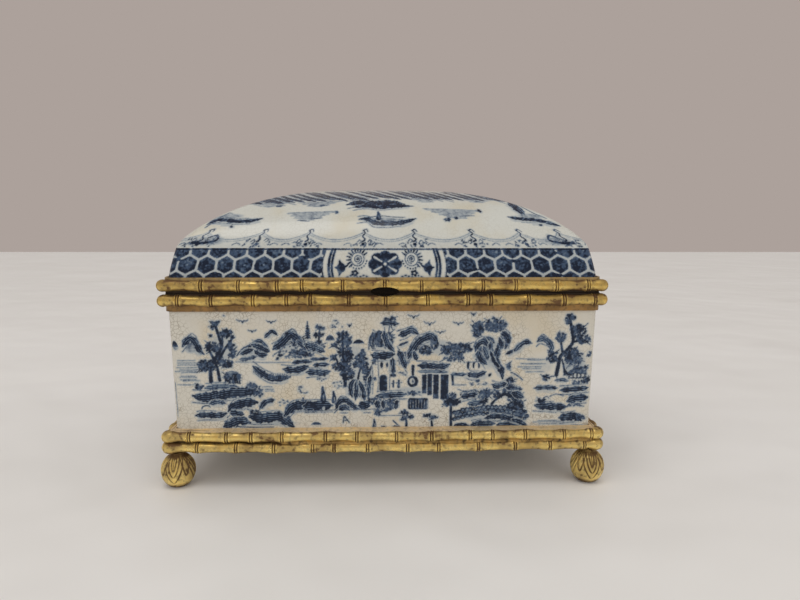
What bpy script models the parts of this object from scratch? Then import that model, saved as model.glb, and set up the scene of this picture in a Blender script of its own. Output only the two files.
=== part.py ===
"""Porcelain storage box: a hinged, domed lid on a rectangular body, both bound in bamboo-shaped brass
bars, on a brass base frame with four ball feet.

Metres, +Z up. The origin is on the table under the middle of the box. The front faces -Y, and left and
right are as seen from the front.
"""

import math

import bmesh
import bpy

# Clearances and tolerances
SEAT_GAP = 0.0003
PARTING_GAP = 0.0003
CUT_OVERRUN = 0.002
JOIN_OVERLAP = 0.0005
WELD = 0.00001

# Porcelain body
BODY_WIDTH = 0.270
BODY_DEPTH = 0.185
BODY_HEIGHT = 0.0899
BODY_DRAFT = 0.0016
BODY_WALL = 0.006
BODY_FLOOR = 0.007
BODY_CORNER = 0.0045
BODY_FOOT_EDGE = 0.0012
CAVITY_CORNER = 0.003

# Porcelain lid
LID_SKIRT = 0.0258
LID_LEAN = 0.005
LID_WALL = 0.006
DOME_RISE = 0.038

# Brass bands on the two porcelain rims
BAND_WALL = 0.0012
BODY_BAND_HEIGHT = 0.0114
LID_BAND_HEIGHT = 0.0094
BAND_LIP_WALL = 0.001
BAND_LIP_HEIGHT = 0.005

# Bamboo bars on the bands
RIM_BAR_RADIUS = 0.0038
RIM_BAR_CLEARANCE = 0.0008
BAR_COLLAR = 0.0018
BAR_END_CAP = 0.0001
NOTCH_LENGTH = 0.018
NOTCH_HEIGHT = 0.0062
NOTCH_RISE = 0.00095

# Base frame
BASE_WALL = 0.002
BASE_CORNER = 0.001
SEAT_HEIGHT = 0.0104
SEAT_THICKNESS = 0.003
SEAT_REACH = 0.010
FLANGE_THICKNESS = 0.002
FLANGE_REACH = 0.012
BLOCK_SIDE = 0.016

# Bamboo bars on the base frame
BASE_BAR_RADIUS = 0.0034
BASE_BAR_STANDOFF = 0.0016
BASE_BAR_MARGIN = 0.00015

# Ball feet and the studs that hold them
FOOT_HEIGHT = 0.0223
BALL_HEIGHT = 0.0206
BALL_RADIUS = 0.0108
FOOT_PAD_RADIUS = 0.0051
FOOT_NECK_RADIUS = 0.0048
FOOT_INSET = 0.0027
STUD_RADIUS = 0.0016
FOOT_BORE_DEPTH = 0.009
BLOCK_BORE_DEPTH = 0.0064

# Hinges at the back
HINGE_SPACING = 0.150
HINGE_LENGTH = 0.022
KNUCKLE_RADIUS = 0.0026
PIN_RADIUS = 0.0012
PIN_HEAD_RADIUS = 0.0019
PIN_HEAD_LENGTH = 0.001
LEAF_THICKNESS = 0.0015
LEAF_HEIGHT = 0.0066
LEAF_START = 0.00115
WEB_START = 0.00045
WEB_THICKNESS = 0.0018
RIVET_MARGIN = 0.0035
RIVET_RADIUS = 0.0009
RIVET_HEAD_RADIUS = 0.0016
RIVET_HEAD_LENGTH = 0.0009

# Shapes without a size: powers of the lid's curves, and radii of the bamboo as shares of the bar's radius
LEAN_POWER = 1.5
CROWN_POWER = 3.5
SHOULDER_POWER = 0.76
ROUNDING_POWER = 1.12
WAIST_SHARE = 0.87
ELBOW_SHARE = 0.94

# Where the bamboo's joints lie, as shares of a bar's length from its left end as seen from outside
LID_FRONT_JOINT_SHARES = (
    0.100, 0.181, 0.265, 0.319, 0.408, 0.500, 0.581, 0.665, 0.717, 0.790, 0.881, 0.952
)
BODY_FRONT_JOINT_SHARES = (
    0.048, 0.121, 0.212, 0.285, 0.337, 0.421, 0.502, 0.595, 0.684, 0.735, 0.819, 0.899, 0.968
)
UPPER_FRONT_JOINT_SHARES = (
    0.063, 0.146, 0.201, 0.270, 0.367, 0.437, 0.526, 0.605, 0.692, 0.743, 0.817, 0.907, 0.970
)
LOWER_FRONT_JOINT_SHARES = (
    0.080, 0.167, 0.251, 0.338, 0.386, 0.461, 0.551, 0.621, 0.711, 0.795, 0.875, 0.955
)
SIDE_JOINT_SHARES = (0.09, 0.20, 0.33, 0.41, 0.54, 0.66, 0.79, 0.90)

# How finely round shapes are divided
CORNER_STEPS = 4
SIDE_STEPS = 8
SKIRT_RINGS = 3
DOME_RINGS = 8
RIM_SECTION_STEPS = 4
BASE_SECTION_STEPS = 6
TURNING_STEPS = 16
BALL_STEPS = 8
SMOOTH_ANGLE = math.radians(40)

# Heights of the stack, from the table up
BASE_BOTTOM = FOOT_HEIGHT + SEAT_GAP
SEAT_Z = BASE_BOTTOM + SEAT_HEIGHT
BODY_BOTTOM = SEAT_Z + SEAT_GAP
BODY_TOP = BODY_BOTTOM + BODY_HEIGHT
BODY_BAND_TOP = BODY_TOP + SEAT_GAP + BAND_WALL
LID_BAND_BOTTOM = BODY_BAND_TOP + PARTING_GAP
LID_BOTTOM = LID_BAND_BOTTOM + BAND_WALL + SEAT_GAP
SHOULDER_Z = LID_BOTTOM + LID_SKIRT
PARTING_Z = BODY_BAND_TOP + PARTING_GAP / 2
RIM_BAR_RISE = RIM_BAR_CLEARANCE + RIM_BAR_RADIUS
LOWER_BAR_Z = BASE_BOTTOM + BASE_BAR_MARGIN + BASE_BAR_RADIUS
UPPER_BAR_Z = LOWER_BAR_Z + BASE_BAR_RADIUS * 2 + SEAT_GAP
BASE_TOP = UPPER_BAR_Z + BASE_BAR_RADIUS + BASE_BAR_MARGIN

# Insets from the body's outline at its mouth; a negative inset lies outside the porcelain
BASE_TOP_INSET = BODY_DRAFT * (1 - (BASE_TOP - BODY_BOTTOM) / BODY_HEIGHT)
BASE_INNER_INSET = BASE_TOP_INSET - SEAT_GAP
BASE_OUTER_INSET = BASE_INNER_INSET - BASE_WALL
BAND_INNER_INSET = -SEAT_GAP
BAND_OUTER_INSET = BAND_INNER_INSET - BAND_WALL
BODY_LIP_INSET = BODY_WALL + SEAT_GAP
LID_LIP_INSET = LID_WALL + LID_LEAN * BAND_LIP_HEIGHT / LID_SKIRT + SEAT_GAP

# The hinges' axis lies outside the rim bars and outside the leaves, whichever reach further
HINGE_STANDOFF = SEAT_GAP + max(RIM_BAR_RADIUS, LEAF_THICKNESS + SEAT_GAP + KNUCKLE_RADIUS)
HINGE_Y = BODY_DEPTH / 2 - BAND_OUTER_INSET + HINGE_STANDOFF

TURN_OF_SIDE = {"front": 0, "right": math.pi / 2, "back": math.pi, "left": -math.pi / 2}


def clear_scene():
    for old in list(bpy.data.objects):
        bpy.data.objects.remove(old)


def new_collection(name):
    collection = bpy.data.collections.new(name)
    bpy.context.scene.collection.children.link(collection)
    return collection


def make_material(name, colour, roughness, metallic):
    material = bpy.data.materials.new(name)
    material.use_nodes = True
    shader = material.node_tree.nodes["Principled BSDF"]
    shader.inputs["Base Color"].default_value = (*colour, 1)
    shader.inputs["Roughness"].default_value = roughness
    shader.inputs["Metallic"].default_value = metallic
    return material


def add_part(name, data, material, location=(0, 0, 0), rotation=(0, 0, 0)):
    data.materials.clear()
    data.materials.append(material)
    data.shade_smooth()
    data.set_sharp_from_angle(angle=SMOOTH_ANGLE)
    part = bpy.data.objects.new(name, data)
    part.location = location
    part.rotation_euler = rotation
    BOX.objects.link(part)
    return part


def add_helper(name, data, location=(0, 0, 0), rotation=(0, 0, 0)):
    """A cutter, a guide, or a shape that is joined into a part: it is never rendered."""
    helper = bpy.data.objects.new(name, data)
    helper.location = location
    helper.rotation_euler = rotation
    helper.hide_render = True
    helper.display_type = "WIRE"
    CUTTERS.objects.link(helper)
    return helper


def combine(part, other, operation):
    modifier = part.modifiers.new(other.name, "BOOLEAN")
    modifier.operation = operation
    modifier.solver = "EXACT"
    modifier.object = other


def ride_on_lid(part):
    part.parent = LID_PIVOT
    part.location = part.location - LID_PIVOT.location


def mesh_from(bm, name):
    bm.normal_update()
    bmesh.ops.recalc_face_normals(bm, faces=bm.faces)
    data = bpy.data.meshes.new(name)
    bm.to_mesh(data)
    bm.free()
    return data


def mesh_from_curve(curve_data, name):
    """Turns a curve into a closed mesh, with its caps welded to its sides."""
    curve = bpy.data.objects.new(name, curve_data)
    CUTTERS.objects.link(curve)
    graph = bpy.context.evaluated_depsgraph_get()
    data = bpy.data.meshes.new_from_object(curve.evaluated_get(graph))
    bpy.data.objects.remove(curve)
    bm = bmesh.new()
    bm.from_mesh(data)
    bmesh.ops.remove_doubles(bm, verts=bm.verts, dist=WELD)
    return mesh_from(bm, name)


def poly_spline(curve_data, points, closed):
    spline = curve_data.splines.new("POLY")
    spline.points.add(len(points) - 1)
    for target, (x, y, radius) in zip(spline.points, points):
        target.co = (x, y, 0, 1)
        target.radius = radius
    spline.use_cyclic_u = closed


def outline(inset, corner):
    """A rounded rectangle, counter-clockwise, this far inside the body's outline at its mouth."""
    half_x = BODY_WIDTH / 2 - inset
    half_y = BODY_DEPTH / 2 - inset
    points = []
    for quarter, (side_x, side_y) in enumerate(((1, 1), (-1, 1), (-1, -1), (1, -1))):
        for step in range(CORNER_STEPS + 1):
            angle = (quarter + step / CORNER_STEPS) * math.pi / 2
            x = side_x * (half_x - corner) + corner * math.cos(angle)
            y = side_y * (half_y - corner) + corner * math.sin(angle)
            points.append((x, y))
    return points


def frame_mesh(name, outer, inner, low, high):
    """A flat frame between two outlines, from the height low to high."""
    curve_data = bpy.data.curves.new(name, "CURVE")
    curve_data.dimensions = "2D"
    curve_data.fill_mode = "BOTH"
    curve_data.extrude = (high - low) / 2
    for points in (outer, inner):
        poly_spline(curve_data, [(x, y, 1) for x, y in points], True)
    data = mesh_from_curve(curve_data, name)
    for vertex in data.vertices:
        vertex.co.z += (low + high) / 2
    return data


def box_bmesh(low, high):
    bm = bmesh.new()
    bmesh.ops.create_cube(bm, size=1)
    for vertex in bm.verts:
        for axis in range(3):
            vertex.co[axis] = high[axis] if vertex.co[axis] > 0 else low[axis]
    return bm


def cylinder_mesh(name, radius, low, high, axis):
    """A cylinder along X, Y or Z, between two places on that axis."""
    bm = bmesh.new()
    bmesh.ops.create_cone(
        bm, cap_ends=True, segments=TURNING_STEPS, radius1=radius, radius2=radius, depth=high - low
    )
    for vertex in bm.verts:
        x, y, z = vertex.co
        z += (low + high) / 2
        vertex.co = {"X": (z, x, y), "Y": (y, z, x), "Z": (x, y, z)}[axis]
    return mesh_from(bm, name)


def tapered_box_mesh(name, low_inset, high_inset, low_z, high_z, corner, foot_edge):
    """A box that follows the body's outline, with its upright and bottom edges rounded."""
    bm = bmesh.new()
    bmesh.ops.create_cube(bm, size=1)
    for vertex in bm.verts:
        inset = high_inset if vertex.co.z > 0 else low_inset
        vertex.co.x = math.copysign(BODY_WIDTH / 2 - inset, vertex.co.x)
        vertex.co.y = math.copysign(BODY_DEPTH / 2 - inset, vertex.co.y)
        vertex.co.z = high_z if vertex.co.z > 0 else low_z
    middle_z = (low_z + high_z) / 2
    upright = [e for e in bm.edges if (e.verts[0].co.z > middle_z) != (e.verts[1].co.z > middle_z)]
    bmesh.ops.bevel(bm, geom=upright, offset=corner, segments=CORNER_STEPS, profile=0.5, affect="EDGES")
    bottom = [e for e in bm.edges if e.verts[0].co.z < middle_z and e.verts[1].co.z < middle_z]
    bottom = [e for e in bottom if len({len(f.verts) == 4 for f in e.link_faces}) == 2]
    bmesh.ops.bevel(bm, geom=bottom, offset=foot_edge, segments=2, profile=0.5, affect="EDGES")
    return mesh_from(bm, name)


def make_body():
    body_data = tapered_box_mesh(
        "body_porcelain", BODY_DRAFT, 0, BODY_BOTTOM, BODY_TOP, BODY_CORNER, BODY_FOOT_EDGE
    )
    body = add_part("body_porcelain", body_data, GLAZE)
    cavity_data = tapered_box_mesh(
        "body_cavity",
        BODY_DRAFT + BODY_WALL,
        BODY_WALL,
        BODY_BOTTOM + BODY_FLOOR,
        BODY_TOP + CUT_OVERRUN,
        CAVITY_CORNER,
        CAVITY_CORNER,
    )
    combine(body, add_helper("body_cavity", cavity_data), "DIFFERENCE")


def lid_outline(inset, roundness):
    """A closed ring of the lid, from a rounded rectangle at roundness 0 to an ellipse at 1."""
    half_x = BODY_WIDTH / 2 - inset
    half_y = BODY_DEPTH / 2 - inset
    corners = outline(inset, BODY_CORNER)
    points = []
    for index, (x, y) in enumerate(corners):
        points.append((x, y))
        if index % (CORNER_STEPS + 1) == CORNER_STEPS:
            next_x, next_y = corners[(index + 1) % len(corners)]
            for step in range(1, SIDE_STEPS):
                share = step / SIDE_STEPS
                points.append((x + (next_x - x) * share, y + (next_y - y) * share))
    ring = []
    for x, y in points:
        angle = math.atan2(y / half_y, x / half_x)
        ring_x = x + (half_x * math.cos(angle) - x) * roundness
        ring_y = y + (half_y * math.sin(angle) - y) * roundness
        ring.append((ring_x, ring_y))
    return ring


def lid_surface(inset, rise):
    """Rings of one face of the lid, from its edge up to the crown, this far inside the outer face."""
    rings = []
    for step in range(SKIRT_RINGS + 1):
        share = step / SKIRT_RINGS
        z = LID_BOTTOM + LID_SKIRT * share
        rings.append([(x, y, z) for x, y in lid_outline(inset + LID_LEAN * share**LEAN_POWER, 0)])
    for step in range(1, DOME_RINGS + 1):
        size = math.cos(math.pi / 2 * step / (DOME_RINGS + 1))
        z = SHOULDER_Z + rise * (1 - size**CROWN_POWER) ** SHOULDER_POWER
        flat_ring = lid_outline(inset + LID_LEAN, 1 - size**ROUNDING_POWER)
        rings.append([(x * size, y * size, z) for x, y in flat_ring])
    return rings


def make_lid():
    """The lid is a loft: its rings turn from rounded rectangles at the skirt into ellipses at the crown."""
    outer = lid_surface(0, DOME_RISE)
    inner = lid_surface(LID_WALL, DOME_RISE - LID_WALL)
    bm = bmesh.new()
    rings = [[bm.verts.new(point) for point in ring] for ring in reversed(inner)]
    rings += [[bm.verts.new(point) for point in ring] for ring in outer]
    for lower, upper in zip(rings, rings[1:]):
        for index, vertex in enumerate(lower):
            following = (index + 1) % len(lower)
            bm.faces.new((vertex, lower[following], upper[following], upper[index]))
    crown_z = SHOULDER_Z + DOME_RISE
    for ring, middle_z in ((rings[0], crown_z - LID_WALL), (rings[-1], crown_z)):
        crown = bm.verts.new((0, 0, middle_z))
        for index, vertex in enumerate(ring):
            bm.faces.new((vertex, ring[(index + 1) % len(ring)], crown))
    ride_on_lid(add_part("lid_porcelain", mesh_from(bm, "lid_porcelain"), GLAZE))


def notch_cutter():
    """An upright ellipse, extruded from outside the front bars into the bands' walls."""
    half_depth = RIM_BAR_RADIUS + SEAT_GAP + BAND_WALL + CUT_OVERRUN
    bm = bmesh.new()
    bmesh.ops.create_cone(
        bm, cap_ends=True, segments=TURNING_STEPS, radius1=1, radius2=1, depth=half_depth
    )
    for vertex in bm.verts:
        x, z, y = vertex.co
        vertex.co = (x * NOTCH_LENGTH / 2, y, z * NOTCH_HEIGHT / 2)
    back_y = -BODY_DEPTH / 2 + BAND_INNER_INSET
    location = (0, back_y - half_depth / 2, PARTING_Z + NOTCH_RISE)
    return add_helper("notch_cutter", mesh_from(bm, "notch_cutter"), location)


def make_band(name, edge_z, direction, height, lip_inset):
    """A channel over a porcelain rim. Direction is -1 where its walls hang down, 1 where they stand up."""
    flange_z = edge_z + direction * BAND_WALL
    foot_z = edge_z + direction * height
    lip_z = edge_z + direction * (BAND_WALL + BAND_LIP_HEIGHT)
    outer = outline(BAND_OUTER_INSET, BODY_CORNER - BAND_OUTER_INSET)
    inner = outline(BAND_INNER_INSET, BODY_CORNER - BAND_INNER_INSET)
    lip_outer = outline(lip_inset, CAVITY_CORNER)
    lip_inner = outline(lip_inset + BAND_LIP_WALL, CAVITY_CORNER)
    middle = outline((BAND_OUTER_INSET + BAND_INNER_INSET) / 2, BODY_CORNER)
    wall_data = frame_mesh(name, outer, inner, min(edge_z, foot_z), max(edge_z, foot_z))
    band = add_part(name, wall_data, BAND_BRASS)
    pieces = {
        "flange": frame_mesh(name, middle, lip_inner, min(edge_z, flange_z), max(edge_z, flange_z)),
        "lip": frame_mesh(name, lip_outer, lip_inner, min(edge_z, lip_z), max(edge_z, lip_z)),
    }
    for piece, data in pieces.items():
        combine(band, add_helper(f"{name}_{piece}", data), "UNION")
    combine(band, NOTCH, "DIFFERENCE")
    return band


def bar_section(name, radius, standoff, steps):
    """A round bar ground flat where it seats: local Y is across the flat, +X points away from the seat."""
    curve_data = bpy.data.curves.new(name, "CURVE")
    curve_data.dimensions = "2D"
    limit = math.acos(-standoff / radius)
    angles = [limit * (2 * step / steps - 1) for step in range(steps + 1)]
    points = [(standoff + radius * math.cos(angle), radius * math.sin(angle), 1) for angle in angles]
    poly_spline(curve_data, points, True)
    return add_helper(name, curve_data)


def elbow(centre_x, centre_y, corner, mitre_angle, straight_angle):
    """Half of a corner, from just short of the mitre to where the bar runs straight."""
    turn = math.copysign(1, straight_angle - mitre_angle)
    along_x = -math.sin(mitre_angle) * turn
    along_y = math.cos(mitre_angle) * turn
    mitre_x = centre_x + corner * math.cos(mitre_angle)
    mitre_y = centre_y + corner * math.sin(mitre_angle)
    points = []
    for distance in (SEAT_GAP / 2, SEAT_GAP / 2 + BAR_END_CAP):
        points.append((mitre_x + along_x * distance, mitre_y + along_y * distance, ELBOW_SHARE))
    for share in (0.5, 1):
        angle = mitre_angle + (straight_angle - mitre_angle) * share
        x = centre_x + corner * math.cos(angle)
        y = centre_y + corner * math.sin(angle)
        points.append((x, y, ELBOW_SHARE))
    return points


def bamboo_path(half_x, half_y, corner, joints, start=None, end=None):
    """A bar's line on the front side, from left to right, with its thickness at each point as a share."""
    path = []
    if start is None:
        path += elbow(corner - half_x, corner - half_y, corner, -0.75 * math.pi, -0.5 * math.pi)
    else:
        path.append((start, -half_y, ELBOW_SHARE))
    low = path[-1][0]
    high = half_x - corner if end is None else end
    joints = [x for x in joints if low + BAR_COLLAR < x < high - BAR_COLLAR]
    for index, x in enumerate(joints):
        path.append((x - BAR_COLLAR / 2, -half_y, 1))
        path.append((x + BAR_COLLAR / 2, -half_y, 1))
        if index + 1 < len(joints):
            path.append(((x + joints[index + 1]) / 2, -half_y, WAIST_SHARE))
    if end is None:
        right = elbow(half_x - corner, corner - half_y, corner, -0.25 * math.pi, -0.5 * math.pi)
        path += reversed(right)
    else:
        path.append((end, -half_y, ELBOW_SHARE))
    return path


def make_bar(name, side, z, seat, section, shares, start=None, end=None):
    """A bamboo bar on one side of the box. The seat is its half width, half depth, corner and reach."""
    half_width, half_depth, corner, reach = seat
    along, across = (half_width, half_depth) if side in ("front", "back") else (half_depth, half_width)
    joints = [(2 * share - 1) * (along + reach) for share in shares]
    curve_data = bpy.data.curves.new(name, "CURVE")
    curve_data.dimensions = "3D"
    curve_data.twist_mode = "Z_UP"
    curve_data.bevel_mode = "OBJECT"
    curve_data.bevel_object = section
    curve_data.use_fill_caps = True
    poly_spline(curve_data, bamboo_path(along, across, corner, joints, start, end), False)
    data = mesh_from_curve(curve_data, name)
    return add_part(name, data, BAMBOO_BRASS, (0, 0, z), (0, 0, TURN_OF_SIDE[side]))


def make_rim_bars(rim, z, front_shares):
    """Four mitred bars on a band, the back one in three lengths that leave room for the hinges."""
    corner = BODY_CORNER - BAND_OUTER_INSET + SEAT_GAP
    half_width = BODY_WIDTH / 2 - BAND_OUTER_INSET + SEAT_GAP
    half_depth = BODY_DEPTH / 2 - BAND_OUTER_INSET + SEAT_GAP
    seat = (half_width, half_depth, corner, RIM_BAR_RADIUS)
    front = make_bar(f"{rim}_bar_front", "front", z, seat, RIM_SECTION, front_shares)
    combine(front, NOTCH, "DIFFERENCE")
    bars = [front]
    for side in ("left", "right"):
        bars.append(make_bar(f"{rim}_bar_{side}", side, z, seat, RIM_SECTION, SIDE_JOINT_SHARES))
    inner_end = (HINGE_SPACING - HINGE_LENGTH) / 2 - SEAT_GAP
    outer_end = (HINGE_SPACING + HINGE_LENGTH) / 2 + SEAT_GAP
    for place, start, end in (
        ("right", None, -outer_end),
        ("middle", -inner_end, inner_end),
        ("left", outer_end, None),
    ):
        name = f"{rim}_bar_back_{place}"
        bars.append(make_bar(name, "back", z, seat, RIM_SECTION, front_shares, start, end))
    return bars


def make_base_bars(layer, z, front_shares):
    corner = BASE_CORNER + SEAT_GAP
    half_width = BODY_WIDTH / 2 - BASE_OUTER_INSET + SEAT_GAP
    half_depth = BODY_DEPTH / 2 - BASE_OUTER_INSET + SEAT_GAP
    seat = (half_width, half_depth, corner, BASE_BAR_STANDOFF + BASE_BAR_RADIUS)
    for side in TURN_OF_SIDE:
        shares = front_shares if side in ("front", "back") else SIDE_JOINT_SHARES
        make_bar(f"base_{layer}_bar_{side}", side, z, seat, BASE_SECTION, shares)


def foot_places():
    """Each foot's name with the place of its axis, under the corners of the base frame."""
    x = BODY_WIDTH / 2 - BASE_OUTER_INSET - FOOT_INSET
    y = BODY_DEPTH / 2 - BASE_OUTER_INSET - FOOT_INSET
    return {
        "front_left": (-x, -y),
        "front_right": (x, -y),
        "back_left": (-x, y),
        "back_right": (x, y),
    }


def make_base_frame():
    """A wall round the porcelain's foot, with a seat under the porcelain and a flange for the feet."""
    wall_middle = (BASE_INNER_INSET + BASE_OUTER_INSET) / 2
    outer = outline(BASE_OUTER_INSET, BASE_CORNER)
    inner = outline(BASE_INNER_INSET, BODY_CORNER)
    joined = outline(wall_middle, BASE_CORNER)
    seat_inner = outline(BASE_INNER_INSET + SEAT_REACH, CAVITY_CORNER)
    flange_inner = outline(BASE_INNER_INSET + FLANGE_REACH, CAVITY_CORNER)
    wall_data = frame_mesh("base_frame", outer, inner, BASE_BOTTOM, BASE_TOP)
    frame = add_part("base_frame", wall_data, BASE_BRASS)
    seat_data = frame_mesh("base_seat", joined, seat_inner, SEAT_Z - SEAT_THICKNESS, SEAT_Z)
    flange_top = BASE_BOTTOM + FLANGE_THICKNESS
    flange_data = frame_mesh("base_flange", joined, flange_inner, BASE_BOTTOM, flange_top)
    combine(frame, add_helper("base_seat", seat_data), "UNION")
    combine(frame, add_helper("base_flange", flange_data), "UNION")
    half_x = BODY_WIDTH / 2 - wall_middle
    half_y = BODY_DEPTH / 2 - wall_middle
    block_low = BASE_BOTTOM + FLANGE_THICKNESS / 2
    block_high = SEAT_Z - SEAT_THICKNESS / 2
    bore_low = BASE_BOTTOM - CUT_OVERRUN
    bore_high = BASE_BOTTOM + BLOCK_BORE_DEPTH
    for place, (x, y) in foot_places().items():
        side_x = math.copysign(1, x)
        side_y = math.copysign(1, y)
        edges_x = sorted((side_x * half_x, side_x * (half_x - BLOCK_SIDE)))
        edges_y = sorted((side_y * half_y, side_y * (half_y - BLOCK_SIDE)))
        block = box_bmesh((edges_x[0], edges_y[0], block_low), (edges_x[1], edges_y[1], block_high))
        combine(frame, add_helper(f"block_{place}", mesh_from(block, f"block_{place}")), "UNION")
        bore_data = cylinder_mesh(f"stud_bore_{place}", STUD_RADIUS + SEAT_GAP, bore_low, bore_high, "Z")
        combine(frame, add_helper(f"stud_bore_{place}", bore_data, (x, y, 0)), "DIFFERENCE")


def turned_part(name, profile, material, location, rotation=(0, 0, 0)):
    """Turns a profile of radius and height, listed down its outer side, into a solid."""
    bm = bmesh.new()
    points = [bm.verts.new((radius, 0, z)) for radius, z in profile]
    for first, second in zip(points, points[1:]):
        bm.edges.new((first, second))
    data = bpy.data.meshes.new(name)
    bm.to_mesh(data)
    bm.free()
    part = add_part(name, data, material, location, rotation)
    screw = part.modifiers.new("turning", "SCREW")
    screw.steps = TURNING_STEPS
    screw.render_steps = TURNING_STEPS
    screw.use_merge_vertices = True
    screw.merge_threshold = WELD
    screw.use_smooth_shade = True
    return part


def foot_profile():
    """The bore for the stud, then the neck and the ball, down to the flat pad that it stands on."""
    bore_radius = STUD_RADIUS + SEAT_GAP
    bore_bottom = FOOT_HEIGHT - FOOT_BORE_DEPTH
    profile = [(0, bore_bottom), (bore_radius, bore_bottom), (bore_radius, FOOT_HEIGHT)]
    profile.append((FOOT_NECK_RADIUS, FOOT_HEIGHT))
    top_angle = math.acos(FOOT_NECK_RADIUS / BALL_RADIUS)
    pad_angle = -math.acos(FOOT_PAD_RADIUS / BALL_RADIUS)
    for step in range(BALL_STEPS + 1):
        angle = top_angle + (pad_angle - top_angle) * step / BALL_STEPS
        rise = math.sin(angle) - math.sin(pad_angle)
        full_rise = math.sin(top_angle) - math.sin(pad_angle)
        profile.append((BALL_RADIUS * math.cos(angle), BALL_HEIGHT * rise / full_rise))
    profile.append((0, 0))
    return profile


def make_feet():
    stud_low = FOOT_HEIGHT - FOOT_BORE_DEPTH + SEAT_GAP
    stud_high = BASE_BOTTOM + BLOCK_BORE_DEPTH - SEAT_GAP
    for place, (x, y) in foot_places().items():
        turned_part(f"foot_{place}", foot_profile(), FOOT_BRASS, (x, y, 0))
        stud_data = cylinder_mesh(f"foot_stud_{place}", STUD_RADIUS, stud_low, stud_high, "Z")
        add_part(f"foot_stud_{place}", stud_data, STEEL, (x, y, 0))


def knuckle_spans(indices):
    """Where the knuckles of one leaf begin and end along the hinge, of three that share its length."""
    step = HINGE_LENGTH / 3
    start = -HINGE_LENGTH / 2
    return [(start + step * i + SEAT_GAP / 2, start + step * (i + 1) - SEAT_GAP / 2) for i in indices]


def make_leaf(name, location, side, indices, rivet_holes):
    """A plate against the band, with webs out to its knuckles. Side is 1 above the parting plane, or -1."""
    plate_y = SEAT_GAP - HINGE_STANDOFF
    plate_z = sorted((side * LEAF_START, side * (LEAF_START + LEAF_HEIGHT)))
    plate = box_bmesh(
        (-HINGE_LENGTH / 2, plate_y, plate_z[0]),
        (HINGE_LENGTH / 2, plate_y + LEAF_THICKNESS, plate_z[1]),
    )
    leaf = add_part(name, mesh_from(plate, name), HINGE_BRASS, location)
    web_z = sorted((side * WEB_START, side * (WEB_START + WEB_THICKNESS)))
    for index, (start, end) in enumerate(knuckle_spans(indices)):
        web = box_bmesh((start, plate_y + JOIN_OVERLAP, web_z[0]), (end, 0, web_z[1]))
        knuckle = cylinder_mesh(f"{name}_knuckle_{index}", KNUCKLE_RADIUS, start, end, "X")
        combine(leaf, add_helper(f"{name}_knuckle_{index}", knuckle, location), "UNION")
        combine(leaf, add_helper(f"{name}_web_{index}", mesh_from(web, name), location), "UNION")
    reach = HINGE_LENGTH / 2 + CUT_OVERRUN
    bore = cylinder_mesh(f"{name}_bore", PIN_RADIUS + SEAT_GAP, -reach, reach, "X")
    combine(leaf, add_helper(f"{name}_bore", bore, location), "DIFFERENCE")
    for hole in rivet_holes:
        combine(leaf, hole, "DIFFERENCE")
    return leaf


def rivet_profile():
    """A low round head over a shank that ends just inside the band."""
    shank = LEAF_THICKNESS + BAND_WALL + SEAT_GAP
    brow_height = RIVET_HEAD_LENGTH * math.cos(math.pi / 6)
    profile = [(0, RIVET_HEAD_LENGTH), (RIVET_HEAD_RADIUS / 2, brow_height), (RIVET_HEAD_RADIUS, 0)]
    profile += [(RIVET_RADIUS, 0), (RIVET_RADIUS, -shank), (0, -shank)]
    return profile


def make_rivets(name, hinge_x, z, band):
    """Two rivets near a leaf's ends, into its band. Returns them with the cutters of their holes."""
    seat_y = HINGE_Y - HINGE_STANDOFF + SEAT_GAP + LEAF_THICKNESS + SEAT_GAP
    hole_low = HINGE_Y - HINGE_STANDOFF - BAND_WALL - SEAT_GAP
    hole_high = seat_y + CUT_OVERRUN
    reach = HINGE_LENGTH / 2 - RIVET_MARGIN
    rivets = []
    holes = []
    for place, offset in (("left", -reach), ("right", reach)):
        x = hinge_x + offset
        rivet_name = f"{name}_rivet_{place}"
        location = (x, seat_y, z)
        turn = (-math.pi / 2, 0, 0)
        rivets.append(turned_part(rivet_name, rivet_profile(), RIVET_BRASS, location, turn))
        hole_data = cylinder_mesh(f"{rivet_name}_hole", RIVET_RADIUS + SEAT_GAP, hole_low, hole_high, "Y")
        hole = add_helper(f"{rivet_name}_hole", hole_data, (x, 0, z))
        combine(band, hole, "DIFFERENCE")
        holes.append(hole)
    return rivets, holes


def pin_profile():
    half = HINGE_LENGTH / 2 + SEAT_GAP
    top = half + PIN_HEAD_LENGTH
    profile = [(0, top), (PIN_HEAD_RADIUS, top), (PIN_HEAD_RADIUS, half), (PIN_RADIUS, half)]
    profile += [(radius, -z) for radius, z in reversed(profile)]
    return profile


def make_hinge(place, hinge_x, body_band, lid_band):
    location = (hinge_x, HINGE_Y, PARTING_Z)
    rivet_rise = LEAF_START + LEAF_HEIGHT / 2
    body_name = f"hinge_body_leaf_{place}"
    lid_name = f"hinge_lid_leaf_{place}"
    _, body_holes = make_rivets(body_name, hinge_x, PARTING_Z - rivet_rise, body_band)
    lid_rivets, lid_holes = make_rivets(lid_name, hinge_x, PARTING_Z + rivet_rise, lid_band)
    make_leaf(body_name, location, -1, (0, 2), body_holes)
    lid_leaf = make_leaf(lid_name, location, 1, (1,), lid_holes)
    turned_part(f"hinge_pin_{place}", pin_profile(), STEEL, location, (0, math.pi / 2, 0))
    for part in [lid_leaf, *lid_rivets]:
        ride_on_lid(part)


clear_scene()
BOX = new_collection("porcelain_storage_box")
CUTTERS = new_collection("cutters")
LID_PIVOT = bpy.data.objects.new("lid_pivot", None)
LID_PIVOT.location = (0, HINGE_Y, PARTING_Z)
BOX.objects.link(LID_PIVOT)

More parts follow.
